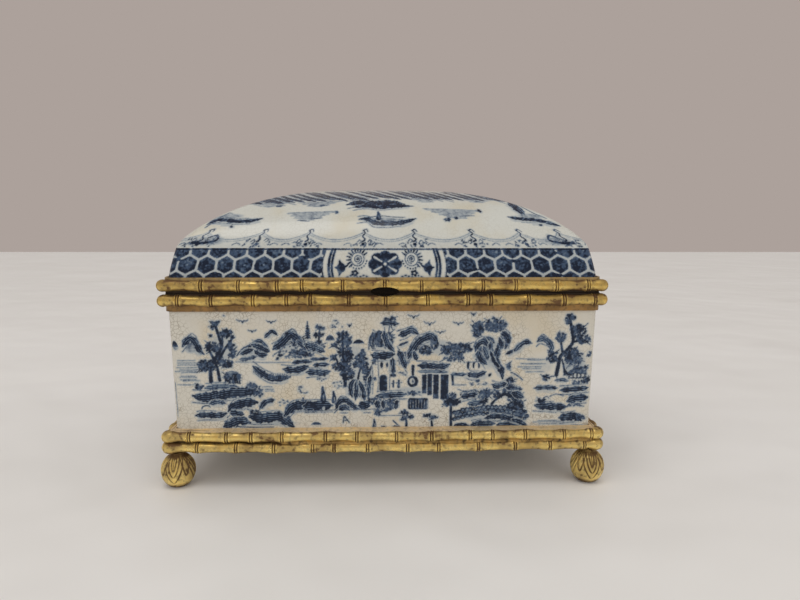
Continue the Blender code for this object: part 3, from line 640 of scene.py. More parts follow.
def notch_ring(shrink, y):
    turns = np.linspace(0, 2 * math.pi, NOTCH_TURNS, endpoint=False)
    half, rise = NOTCH_LENGTH / 2 - shrink, NOTCH_HEIGHT / 2 - shrink
    return [(math.cos(a) * half, y, NOTCH_Z + math.sin(a) * rise) for a in turns]


def slab_faces(count):
    """Faces of a slab whose front outline comes first and its back outline after."""
    sides = [((i + 1) % count, i, count + i, count + (i + 1) % count) for i in range(count)]
    return [tuple(range(count)), tuple(reversed(range(count, 2 * count))), *sides]


def make_notch_cutter():
    data = bpy.data.meshes.new("notch_cutter")
    data.from_pydata(notch_ring(0, NOTCH_FRONT) + notch_ring(0, NOTCH_BACK), [], slab_faces(NOTCH_TURNS))
    return put_in("notch_cutter", data)


def file_notch(bar, cutter):
    """Cuts the fingertip notch out of a bar and keeps the result as a plain mesh."""
    cut = bar.modifiers.new("notch", "BOOLEAN")
    cut.object, cut.operation, cut.solver = cutter, "DIFFERENCE", "EXACT"
    filed = plain_mesh(bar)
    bar.modifiers.clear()
    bar.data = filed
    filed.set_sharp_from_angle(angle=math.radians(50))


def make_rim_bars(rim, body, z, front_shares, seed, cutter):
    """The six bars of one rim, three of them behind, where the hinges need room between them."""
    for seed, (place, (side, *ends)) in enumerate(RIM_SPANS.items(), seed):
        solid = f"{rim}_bar_{place}"
        joints = joint_places(front_shares, QUARTER_OF[side], RIM_HALF, RIM_OFFSET + RIM_RADIUS)
        line = cane_line(RIM_HALF, RIM_CORNER, z, joints, side, ends, 0, RIM_KNOB, seed)
        bar = grow_bar(f"cane_{solid}", line, RIM_RADIUS, RIM_OFFSET, BAMBOO_BRASS, 0.00038, seed)
        if place == "front":
            file_notch(bar, cutter)
        belong(bar, body, solid)


NOTCH_CUTTER = make_notch_cutter()
make_rim_bars("body", "box", PARTING_Z - RIM_SPREAD, BODY_JOINTS, 61, NOTCH_CUTTER)
make_rim_bars("lid", "lid", PARTING_Z + RIM_SPREAD, LID_JOINTS, 81, NOTCH_CUTTER)
bpy.data.objects.remove(NOTCH_CUTTER)


def notch_shade_finish():
    """Near-black and without sheen: painted shade for the deep back of the notch."""
    material, shader, tree = new_material("notch_shade_black")
    grit = speckle(tree, own_place(tree), 1500, 3)
    feed(tree, shader, {
        "Base Color": mingle(tree, grit, (0.003, 0.002, 0.0015, 1), (0.012, 0.008, 0.005, 1)),
        "Roughness": calc(tree, "MULTIPLY_ADD", grit, 0.2, 0.7), "Specular IOR Level": 0.12,
    })
    return material


NOTCH_SHADE_BLACK = notch_shade_finish()
SHADE_SHEET_SHRINK = 0.0002
SHADE_SHEET_THICK = (0.0007, 0.0004)


def make_notch_shade(name, body, low, high):
    """A thin dark sheet of painted shade on the back of the notch, between two heights on one side of the parting
    line.
    """
    ring = notch_ring(SHADE_SHEET_SHRINK, NOTCH_BACK - SHADE_SHEET_THICK[0])
    from_left = ring[NOTCH_TURNS // 2 :] + ring[: NOTCH_TURNS // 2]
    front = [(x, y, z) for x, y, z in from_left if low < z < high]
    back = [(x, NOTCH_BACK + SHADE_SHEET_THICK[1], z) for x, _, z in front]
    mesh_piece(name, front + back, slab_faces(len(front)), NOTCH_SHADE_BLACK, body)


# Painted shade: a near-black sheet where the notch lies deep in shadow, one half on each body.
make_notch_shade("notch_shade_body", "box", 0.1220, PARTING_Z - 0.0001)
make_notch_shade("notch_shade_lid", "lid", PARTING_Z + 0.0001, 0.1300)


# Glaze: a warm white tin glaze over a pale body, crazed all over in fine lines that took up some brown. The
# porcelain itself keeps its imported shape, and shows bare glaze inside the box and the lid.

CREAM = (0.570, 0.545, 0.483, 1)
LID_CREAM = (0.538, 0.545, 0.510, 1)
WARM_CLOUD = (0.96, 0.90, 0.80, 1)
CRAZE_BROWN = (0.20, 0.165, 0.115, 1)
NAVY = (0.005, 0.012, 0.030, 1)
MIDDLE_BLUE = (0.042, 0.072, 0.130, 1)
PALE_BLUE = (0.17, 0.22, 0.27, 1)
WASH_BLUE = (0.34, 0.375, 0.395, 1)


def make_kiln_glaze():
    """Colour and relief of the bare glaze: clouds of cream, and crazing of the given strength and fineness."""
    group, given, ends = open_group(
        "kiln_glaze", {"Cream": WHITE, "Crazing": 0.5, "Fineness": 400.0}, {"Colour": "Color", "Height": "Float"}
    )
    where = own_place(group)
    warp = add_node(group, "ShaderNodeTexNoise", {"Vector": where, "Scale": 260.0, "Detail": 2.0}).outputs["Color"]
    bend = add_node(group, "ShaderNodeVectorMath", {0: warp, "Scale": 0.0014}, operation="SCALE").outputs[0]
    bent = add_node(group, "ShaderNodeVectorMath", {0: where, 1: bend}, operation="ADD").outputs[0]
    inputs = {"Vector": bent, "Scale": given["Fineness"]}
    cells = add_node(group, "ShaderNodeTexVoronoi", inputs, feature="DISTANCE_TO_EDGE").outputs["Distance"]
    line = calc(group, "SUBTRACT", 1.0, ease(group, cells, 0.01, 0.085))
    patchy = ease(group, speckle(group, where, 45, 3), 0.30, 0.62)
    stain = calc(group, "MULTIPLY", calc(group, "MULTIPLY", line, patchy), given["Crazing"])
    clouds = speckle(group, where, 38, 3)
    cream = mingle(group, ease(group, clouds, 0.3, 0.7), given["Cream"], WARM_CLOUD, "MULTIPLY")
    cream = mingle(group, ease(group, clouds, 0.35, 0.75), given["Cream"], cream)
    feed(group, ends, {
        "Colour": mingle(group, stain, cream, CRAZE_BROWN),
        "Height": calc(group, "MULTIPLY_ADD", line, -0.25, clouds),
    })
    return group


def make_cobalt():
    """Cobalt under the glaze: blurred at its edges, darker where the brush was wet, with a thin wash beside it."""
    group, given, ends = open_group(
        "cobalt", {"Ground": WHITE, "Ink": 0.0, "Tone": 0.0, "Wash": 0.0}, {"Colour": "Color"}
    )

    def cloudy(scale, detail, much, least):
        return calc(group, "MULTIPLY_ADD", speckle(group, own_place(group), scale, detail), much, least)

    edge = calc(group, "ADD", given["Ink"], cloudy(1250, 3, 0.9, -0.45))
    core = calc(group, "MULTIPLY_ADD", ease(group, given["Ink"], -0.2, 1.1), 0.36, 0.64)
    pooled = cloudy(250, 2, 1.3, -0.62)
    tone = calc(group, "MULTIPLY_ADD", given["Tone"], core, calc(group, "ADD", cloudy(640, 3, 1.1, -0.55), pooled))
    blue = mingle(group, ease(group, tone, 0.05, 0.5), PALE_BLUE, MIDDLE_BLUE)
    blue = mingle(group, ease(group, tone, 0.48, 0.88), blue, NAVY)
    bleed = calc(group, "MULTIPLY", ease(group, calc(group, "ADD", edge, pooled), -1.3, 0.25), 0.56)
    strength = calc(group, "MAXIMUM", calc(group, "MULTIPLY", given["Wash"], cloudy(420, 4, 1.2, 0.4)), bleed)
    washed = mingle(group, ease(group, strength, 0.0, 0.62), given["Ground"], WASH_BLUE)
    washed = mingle(group, ease(group, strength, 0.55, 1.1), washed, MIDDLE_BLUE)
    feed(group, ends, {"Colour": mingle(group, ease(group, edge, -0.35, 0.28), washed, blue)})
    return group


KILN_GLAZE = make_kiln_glaze()
COBALT = make_cobalt()


def glaze_finish(name, cream, crazing, roughness, shine=0.5, painted=True):
    """Glaze of one colour, with the cobalt that the mesh's own marks tell of where it is painted."""
    material, shader, tree = new_material(name)
    inputs = {"Cream": cream, "Crazing": crazing}
    glaze = add_node(tree, "ShaderNodeGroup", inputs, node_tree=KILN_GLAZE).outputs
    colour = glaze["Colour"]
    if painted:
        inputs = {"Ground": colour, **{label: mark_of(tree, label.lower()) for label in ("Ink", "Tone", "Wash")}}
        colour = add_node(tree, "ShaderNodeGroup", inputs, node_tree=COBALT).outputs["Colour"]
    feed(tree, shader, {
        "Base Color": colour, "IOR": 1.52, "Specular IOR Level": shine,
        "Roughness": calc(tree, "MULTIPLY_ADD", speckle(tree, own_place(tree), 90, 3), 0.12, roughness),
        "Normal": relief(tree, glaze["Height"], 0.35, FINE_BUMP),
    })
    return material


BODY_GLAZE = glaze_finish("painted_body_glaze", CREAM, 0.62, 0.13, 0.28)
LID_GLAZE = glaze_finish("painted_lid_glaze", LID_CREAM, 0.14, 0.07, 0.3)
dress(glaze_finish("plain_glaze", CREAM, 0.25, 0.12, painted=False), "body_porcelain", "lid_porcelain")


# Painted walls of the body: a lake with islands, trees and pavilions in cobalt on all four sides. The print
# is in the glaze, so each wall has a skin of glaze just proud of the porcelain that carries it. All in mm.

BODY_HALF = (135.0, 92.5)
BODY_BOTTOM = 33.3
BODY_HEIGHT = 89.9
BODY_DRAFT = 1.6
CORNER = 4.5
SKIN_PROUD = 0.2
SKIN_DEEP = -0.45
SKIN_STEP = 0.47
WALL_LOW = 36.0
WALL_HIGH = 114.4


def outline_at(places, half, corner):
    """Points on a rounded rectangle. A place counts 0 to 8: the front, its right corner, the right side, and on."""
    segment = np.floor(places).astype(int) % 8
    share = places - np.floor(places)
    x, y = np.zeros(len(places)), np.zeros(len(places))
    for quarter in range(4):
        along, across = side_sizes(quarter, half)
        straight = segment == 2 * quarter
        bend = segment == 2 * quarter + 1
        angle = (share[bend] - 1) * math.pi / 2
        local_x, local_y = np.zeros(len(places)), np.zeros(len(places))
        local_x[straight] = (along - corner) * (2 * share[straight] - 1)
        local_y[straight] = -across
        local_x[bend] = along - corner + corner * np.cos(angle)
        local_y[bend] = corner - across + corner * np.sin(angle)
        here = straight | bend
        turned = quarter_turn(local_x, local_y, quarter)
        x[here], y[here] = turned[0][here], turned[1][here]
    return x, y


def walk(half, corner, step, start=0.0, end=8.0):
    """Places about one step apart round a rounded rectangle, and the distance walked to each, in mm."""
    places, walked, total = [], [], 0.0
    place = start
    while place < end - 1e-6:
        stop = min(math.floor(place + 1e-6) + 1, end)
        segment = math.floor(place + 1e-6) % 8
        if segment % 2:
            length = corner * math.pi / 2
        else:
            length = 2 * (side_sizes(segment // 2, half)[0] - corner)
        length *= stop - place
        count = max(3, round(length / step))
        for index in range(count):
            places.append(place + (stop - place) * index / count)
            walked.append(total + length * index / count)
        total += length
        place = stop
    return np.array(places), np.array(walked), total


class Picture:
    """Cobalt work on one surface. Each of its points keeps how far it lies inside the ink in mm, how dark
    that ink is, and how strong the soft colour under it is; across and up are the points' places in mm."""

    REACH = 1.5

    def __init__(self, across, up, seed, over=None):
        self.across, self.up = across, up
        self.ink = over.ink if over else np.full(len(across), -self.REACH)
        self.tone = over.tone if over else np.zeros(len(across))
        self.wash = over.wash if over else np.zeros(len(across))
        self.hand = random.Random(seed)

    def marks(self):
        return {"ink": self.ink, "tone": self.tone, "wash": self.wash}

    def about(self, value, share=0.2):
        return value * self.hand.uniform(1 - share, 1 + share)

    def off(self, amount):
        return self.hand.uniform(-amount, amount)

    def near(self, x, z, reach_x, reach_z):
        """The points in a box round a place, and how far each lies aside of it and above it."""
        where = np.nonzero((np.abs(self.across - x) < reach_x) & (np.abs(self.up - z) < reach_z))[0]
        return where, self.across[where] - x, self.up[where] - z

    def lay(self, where, depth, tone):
        """Lays ink on these points, each this deep inside it; a negative depth lies outside."""
        fresh = (depth > 0) | (depth > self.ink[where])
        self.tone[where[fresh]] = np.broadcast_to(tone, depth.shape)[fresh]
        self.ink[where] = np.maximum(self.ink[where], depth)

    def bare(self, where, outside):
        """Keeps these points free of ink, where they lie less than nothing outside the bare place."""
        self.ink[where] = np.minimum(self.ink[where], outside)

    def along(self, points, margin):
        """The points near a line: how far along it, how far above it and how far from it, and its length."""
        line = np.array(smooth_line(points))
        middle, half = (line.min(0) + line.max(0)) / 2, np.ptp(line, axis=0) / 2 + margin
        where = self.near(*middle, *half)[0]
        spots = np.stack([self.across[where], self.up[where]], axis=1)
        runs = np.diff(line, axis=0)
        steps = np.hypot(*runs.T)
        walked = np.concatenate([[0], np.cumsum(steps)])
        away = np.full(len(where), 99.0)
        share, aside = np.zeros(len(where)), np.zeros(len(where))
        for start, run, before, step in zip(line, runs, walked, steps):
            part = np.clip((spots - start) @ run / max(step**2, 1e-9), 0, 1)
            gap = spots - start - part[:, None] * run
            far = np.hypot(*gap.T)
            closer = far < away
            away[closer] = far[closer]
            share[closer] = (before + part * step)[closer] / walked[-1]
            aside[closer] = (run[0] * gap[:, 1] - run[1] * gap[:, 0])[closer] / max(step, 1e-9)
        return where, share, aside, away, walked[-1]

    def stroke(self, points, width, tone=0.9, end_width=None):
        """A crisp stroke through points, of one width in mm or running from one to another."""
        last = width if end_width is None else end_width
        where, share, _, away, _ = self.along(points, max(width, last) / 2 + self.REACH)
        self.lay(where, (width + (last - width) * share) / 2 - away, tone)

    def bare_line(self, points, width, end_width=None):
        last = width if end_width is None else end_width
        where, share, _, away, _ = self.along(points, max(width, last) + self.REACH)
        self.bare(where, away - (width + (last - width) * share) / 2)

    def dab(self, x, z, half_x, half_z, tone=0.9, turn=0.0):
        """An oval touch of the brush."""
        reach = max(half_x, half_z) + self.REACH
        where, aside, above = self.near(x, z, reach, reach)
        cos, sin = math.cos(turn), math.sin(turn)
        far = np.hypot((aside * cos + above * sin) / half_x, (above * cos - aside * sin) / half_z)
        self.lay(where, (1 - far) * min(half_x, half_z), tone)

    def bare_oval(self, x, z, half_x, half_z):
        where, aside, above = self.near(x, z, half_x + self.REACH, half_z + self.REACH)
        self.bare(where, (np.hypot(aside / half_x, above / half_z) - 1) * min(half_x, half_z))

    def soften(self, x, z, half_x, half_z, strength):
        """A soft oval of thinned colour."""
        where, aside, above = self.near(x, z, half_x, half_z)
        spread = np.clip(2.3 * (1 - np.hypot(aside / half_x, above / half_z)), 0, 1)
        self.wash[where] = np.maximum(self.wash[where], strength * spread)

    def block(self, x, z, w, h, corner=0.6):
        """The points round a block that stands on a place: aside of and above its middle, and how deep inside."""
        where, aside, above = self.near(x, z + h / 2, w / 2 + self.REACH, h / 2 + self.REACH)
        gap_x, gap_z = np.abs(aside) - w / 2 + corner, np.abs(above) - h / 2 + corner
        outside = np.hypot(np.maximum(gap_x, 0), np.maximum(gap_z, 0))
        return where, aside, above, corner - outside - np.minimum(np.maximum(gap_x, gap_z), 0)


CURVE_STEPS = 4


def smooth_line(points):
    """The points with more between them, on a curve through them all."""
    if len(points) < 3:
        return points
    padded = [points[0], *points, points[-1]]
    line = []
    for a, b, c, d in zip(padded, padded[1:], padded[2:], padded[3:]):
        for step in range(CURVE_STEPS):
            t = step / CURVE_STEPS
            line.append(tuple(
                0.5 * (2 * q + (r - p) * t + (2 * p - 5 * q + 4 * r - s) * t**2 + (3 * q - p - 3 * r + s) * t**3)
                for p, q, r, s in zip(a, b, c, d)
            ))
    return line + [points[-1]]


SPREAD = 1.22  # how much wider the brush leaves a motif than its row says


def paint_band(art, width, tone, *places):
    """A loaded brush drawn along a bank or a slope: dark below, streaked along its length, with bare edges."""
    points = list(zip(places[::2], places[1::2]))
    width *= SPREAD
    where, share, aside, away, length = art.along(points, width / 2 + 3.2)
    phase, walked = art.hand.uniform(0, 6.28), share * length
    half = width / 2 * np.clip(np.minimum(share / 0.15, (1 - share) / 0.2), 0.1, 1) ** 0.55
    half = half * (1 + 0.12 * np.sin(walked * 1.1 + phase) + 0.08 * np.sin(walked * 2.7 + 2 * phase))
    art.bare(where[away > half], (np.abs(away - half - 0.3) - 0.3)[away > half])
    streaks = np.sin(aside * 4.6 + 1.6 * np.sin(walked * 0.3 + phase) + phase)
    tones = tone - 0.16 * np.clip(aside / width * 2, -1, 1) - 0.8 * np.clip((streaks - 0.45) / 0.55, 0, 1)
    art.lay(where, half - away, tones if width > 2.1 else tone)
    if width > 3.4 and length > 8:
        for edge in (width / 2 + 1.0, -width / 2 - 1.3):
            contour = [(x + art.off(1.2), z + edge + art.off(0.3)) for x, z in points[: 1 + 2 * len(points) // 3]]
            art.stroke(contour, 0.55, art.about(0.55), 0.3)
    bled = (away - half) / np.where(aside < 0, 2.6, 1.1)
    ruled = 0.62 + 0.2 * np.sin(aside * 3.3 + np.sin(walked * 0.7))
    ends = np.clip(np.minimum(share, 1 - share) / 0.08, 0, 1)
    art.wash[where] = np.maximum(art.wash[where], ruled * tone * ends * np.clip(1.25 - bled, 0, 1))


def paint_line(art, width, tone, *places):
    width *= SPREAD if width > 0.9 else 1
    art.stroke(list(zip(places[::2], places[1::2])), width, tone, width * 0.72)


def paint_leaves(art, x, z, w, h, tone=0.95, fill=1.0):
    """A clump of foliage or scrub: short touches heaped on each other, with twigs between them."""
    w, h = w * SPREAD, h * SPREAD
    where, aside, above = art.near(x, z, w / 2 + art.REACH, h / 2 + art.REACH)
    depth = np.full(len(where), -art.REACH)
    tones = np.full(len(where), tone)
    for _ in range(int(fill * max(6, w * h / 1.6))):
        angle, reach = art.hand.uniform(0, 6.28), art.hand.random() ** 0.55
        half, turn = art.about(0.95, 0.3), art.off(1.4)
        from_x = aside - math.cos(angle) * reach * max(0, w / 2 - 0.5)
        from_z = above - math.sin(angle) * reach * max(0, h / 2 - 0.4)
        cos, sin = math.cos(turn), math.sin(turn)
        far = np.hypot((from_x * cos + from_z * sin) / half, (from_z * cos - from_x * sin) / (half * 0.66))
        touch = (1 - far) * half * 0.66
        tones = np.where(touch > depth, tone * art.hand.uniform(0.72, 1.06), tones)
        depth = np.maximum(depth, touch)
    art.lay(where, depth, tones)
    for _ in range(int(fill * (w + h) / 3)):
        cos, sin = w * math.cos(art.hand.uniform(0, 6.28)), h * math.sin(art.hand.uniform(0, 6.28))
        art.stroke([(x + cos * 0.2, z + sin * 0.2), (x + cos * 0.56, z + sin * 0.56)], 0.8, tone, 0.4)
    art.soften(x, z, w * 0.6, h * 0.6, 0.66 * tone)


def paint_fluff(art, x, z, w, h):
    """Loose foliage in middle blue."""
    paint_leaves(art, x, z, w, h, 0.62, 0.5)


def paint_wash(art, x, z, w, h, strength):
    art.soften(x, z, w / 2, h / 2, strength)


def paint_cloud(art, x, z, w, h, strength, lean=0.0):
    """A bank of mist, flat on top and ragged below, laid in pale blue and ruled along."""
    where, aside, above = art.near(x, z - h / 2, w / 2 + 1, h / 2)
    down = 0.5 - above / h
    half = w / 2 * (1 - 0.72 * down) + 1.2 * np.sin(above * 2.6)
    depth = half - np.abs(aside + lean * down * w)
    ruled = 0.85 + 0.15 * np.sin(above * 4.2 + 0.08 * aside)
    art.wash[where] = np.maximum(art.wash[where], strength * ruled * np.clip(depth / 0.9, 0, 1))
    art.stroke([(x - w * 0.44, z - 0.5), (x + w * 0.44, z - 0.2)], 0.4, 0.2)


def paint_mound(art, x, z, w, h, tone=1.0):
    """A far hill: dark along its crown and fading to nothing at its foot."""
    where, aside, above = art.near(x, z + h / 2, w / 2 + art.REACH, h / 2 + art.REACH)
    across, up = aside / (w / 2), above / h + 0.5
    depth = np.minimum((np.sqrt(np.clip(1 - across**2, 0, 1)) - up) * h, (1 - np.abs(across)) * w / 2)
    shade = np.clip(1.5 * up - 0.25 + 0.12 * np.sin(aside * 2.1), 0, 1) * tone
    art.lay(where, np.minimum(depth, (up - 0.42) * h), 0.25 + 0.75 * shade)
    art.wash[where] = np.maximum(art.wash[where], shade * np.clip(depth / 0.6, 0, 1) * 0.85)


def paint_moundlet(art, x, z, w, h):
    paint_mound(art, x, z, w, h, 0.62)


def paint_water(art, x, z, w, h):
    """Ripples: thin pale lines, each about its own length."""
    for index in range(max(3, int(h / 1.35))):
        level = z - h / 2 + (index + art.hand.random()) * 1.35
        middle, half = x + art.off(w / 9), w * art.about(0.38, 0.3)
        art.stroke([(middle - half, level), (middle, level + art.off(0.3)), (middle + half, level)], 0.42, 0.22)
    art.soften(x, z, w * 0.6, h * 0.6, 0.2)


def paint_cone(art, x, z, w, h, tone=0.8):
    """A cloaked figure, seen from far off."""
    art.stroke([(x, z + h), (x + w * 0.1, z + h * 0.45), (x + w * 0.05, z)], w * 0.3, tone, w * 0.85)
    art.bare_line([(x + w * 0.12, z + h * 0.4), (x + w * 0.2, z)], 0.4)


def paint_figure(art, x, z, w, h):
    """A person by the water: a head, a robe and two arms."""
    art.dab(x, z + h * 0.85, 0.6, 0.6, 0.9)
    art.stroke([(x, z + h * 0.7), (x + art.off(0.3), z)], w * 0.35, 0.85, w * 0.5)
    art.stroke([(x - w / 2, z + h * 0.5), (x + w / 2, z + h * 0.58)], 0.5, 0.8)


def paint_hut(art, x, z, w, h):
    """A thatched shelter on short posts."""
    eaves = z + h * 0.45
    for level in range(int(h * 0.5)):
        half = w / 2 * (1 - (level / (h * 0.55)) ** 2 * 0.8)
        rise = level * 1.05
        thatch = [(x - half, eaves + rise - 0.4), (x, eaves + rise + 0.5), (x + half, eaves + rise - 0.4)]
        art.stroke(thatch, 0.9, art.about(0.8))
    for index in range(max(3, int(w / 2.2))):
        spot = x - w * 0.42 + index * w * 0.84 / max(2, int(w / 2.2) - 1)
        art.stroke([(spot, z), (spot + art.off(0.2), eaves)], 0.85, 0.9)
    art.stroke([(x - w * 0.46, z + 0.2), (x + w * 0.46, z + 0.2)], 0.8, 0.85)
    art.soften(x, z + h / 2, w * 0.55, h * 0.6, 0.5)


def paint_pagoda(art, x, z, w, h):
    """A tower of six roofs, each narrower than the one below."""
    for level in range(6):
        half, eaves = w / 2 * (1 - level * 0.13), z + h * level / 7
        art.stroke([(x - half, eaves), (x, z + h * (level + 0.5) / 7), (x + half, eaves)], 1.0, 0.93)
    art.stroke([(x, z), (x, z + h)], w * 0.42, 0.95, 0.7)


def paint_speckle(art, x, z, w, h):
    """Far roofs and stones, only dotted in."""
    for _ in range(int(w * h / 3.4)):
        art.dab(x + art.off(w / 2), z + art.off(h / 2), art.about(0.62, 0.4), 0.42, art.about(0.6, 0.4), art.off(0.6))
    art.soften(x, z, w * 0.5, h * 0.55, 0.22)


def paint_bird(art, x, z, w, h):
    """A gull far off: two bent wings and a dark body."""
    for side in (-w, w):
        wing = [(x, z - h * 0.3), (x + side * 0.16, z + h * 0.1), (x + side * 0.3, z), (x + side / 2, z + h * 0.35)]
        art.stroke(wing, 0.75, 0.75, 0.35)
    art.dab(x, z - h * 0.3, 0.6, 0.5, 0.95)


def paint_hedge(art, x, z, w, h):
    """A clipped hedge: rounds of middle blue heaped in an arch, each with a dark rim."""
    count = int(w / 2.7)
    for index in range(3 * count):
        row, place = divmod(index, count)
        share = -1 + 2 * (place + 0.5 * (row % 2) + 0.3) / count
        spot = x + share * w / 2, z + h / 2 - row * 2.3 - share**2 * h / 2 + art.off(0.3)
        art.dab(*spot, art.about(1.6), 1.35, 0.97)
        art.dab(spot[0] + 0.1, spot[1] - 0.3, 1.0, 0.8, 0.3)


def paint_fence(art, x, z, w, h):
    """A row of leaning posts."""
    for index in range(int(w / 1.4)):
        post = x - w / 2 + index * 1.4
        art.stroke([(post, z - h / 2), (post + 0.3, z + h / 2)], 0.55, 0.6)


def paint_hole(art, x, z, w, h):
    art.bare_oval(x, z, w / 2, h / 2)


def paint_oval(art, x, z, w, h):
    art.dab(x, z, w / 2, h / 2, 1.0)


def paint_ring(art, x, z, w, h):
    """A round vessel: a dark rim with a light belly."""
    art.dab(x, z, w / 2, h / 2, 0.9)
    art.bare_oval(x - w * 0.06, z + h * 0.02, w * 0.24, h * 0.28)
    art.dab(x, z, 0.5, h * 0.16, 0.7)


def paint_panel(art, x, z, w, h, corner=0.5):
    """A hanging or a wall in deep blue, with the brush's marks running down it."""
    where, aside, above, depth = art.block(x, z, w, h, corner)
    streaks = np.sin(aside * 6 + 0.7 * np.sin(above * 0.5))
    art.bare(where[depth < 0], (np.abs(depth + 0.3) - 0.3)[depth < 0])
    art.lay(where, depth, 0.93 - 0.14 * aside / w + 0.1 * above / h - 0.22 * np.clip(streaks, 0, 1))


def paint_door(art, x, z, w, h):
    """A panel with a rounded top."""
    paint_panel(art, x, z, w, h, w * 0.42)


def paint_drum(art, x, z, w, h):
    """A low round stand in deep blue, with bare lines between its staves."""
    paint_panel(art, x, z, w, h, 1.4)
    for index in range(int(w / 1.8)):
        spot = x - w / 2 + (index + 0.8) * w / int(w / 1.8)
        art.bare_line([(spot, z + h * 0.14), (spot, z + h * 0.82)], 0.3)


def paint_weep(art, x, z, w, h):
    """A crown of hanging branches, in loops that fall to both sides."""
    for index in range(int(w * 1.25)):
        side = -1 + 2 * (index + 0.5) / int(w * 1.25)
        top = z + h / 2 * (1 - side**2 * 0.35) - art.hand.random() * h * 0.12
        drop = h * art.about(0.62, 0.25)
        branch = [(x + side * w * out, top - drop * down) for out, down in ((0.3, 0), (0.46, 0.3), (0.5, 1))]
        art.stroke(branch, art.about(1.1), art.about(0.78, 0.25), 0.6)
    art.soften(x, z, w * 0.6, h * 0.6, 0.5)


BRUSHES = {brush.__name__.removeprefix("paint_"): brush for brush in (
    paint_band, paint_line, paint_leaves, paint_fluff, paint_wash, paint_hedge, paint_mound, paint_moundlet,
    paint_water, paint_cone, paint_figure, paint_hut, paint_pagoda, paint_speckle, paint_bird, paint_fence,
    paint_hole, paint_oval, paint_ring, paint_panel, paint_door, paint_drum, paint_weep, paint_cloud,
)}
ALONG_A_LINE = ("band", "line")


def paint_scene(art, scene, shift=0.0, turned=1, lift=0.0):
    """Paints a list of motifs, which may be moved along and up, or turned round left to right. Each row names
    its brush. Brushes along a line have a width, a tone and the line's places, across and up in turn; the others
    have one place, a width, a height and, where it varies, a tone or a strength."""
    for kind, *numbers in scene:
        lead = 2 if kind in ALONG_A_LINE else 0
        last = len(numbers) if lead else 2
        places = numbers[lead:last]
        places = [value + lift if index % 2 else turned * value + shift for index, value in enumerate(places)]
        BRUSHES[kind](art, *numbers[:lead], *places, *numbers[last:])


def motifs(scene, low, high, bottom=-1000.0, top=1000.0):
    """The motifs that start between these places across the side and up it."""
    starts = [motif[3:5] if motif[0] in ALONG_A_LINE else motif[1:3] for motif in scene]
    return [motif for motif, (x, z) in zip(scene, starts) if low < x < high and bottom < z < top]


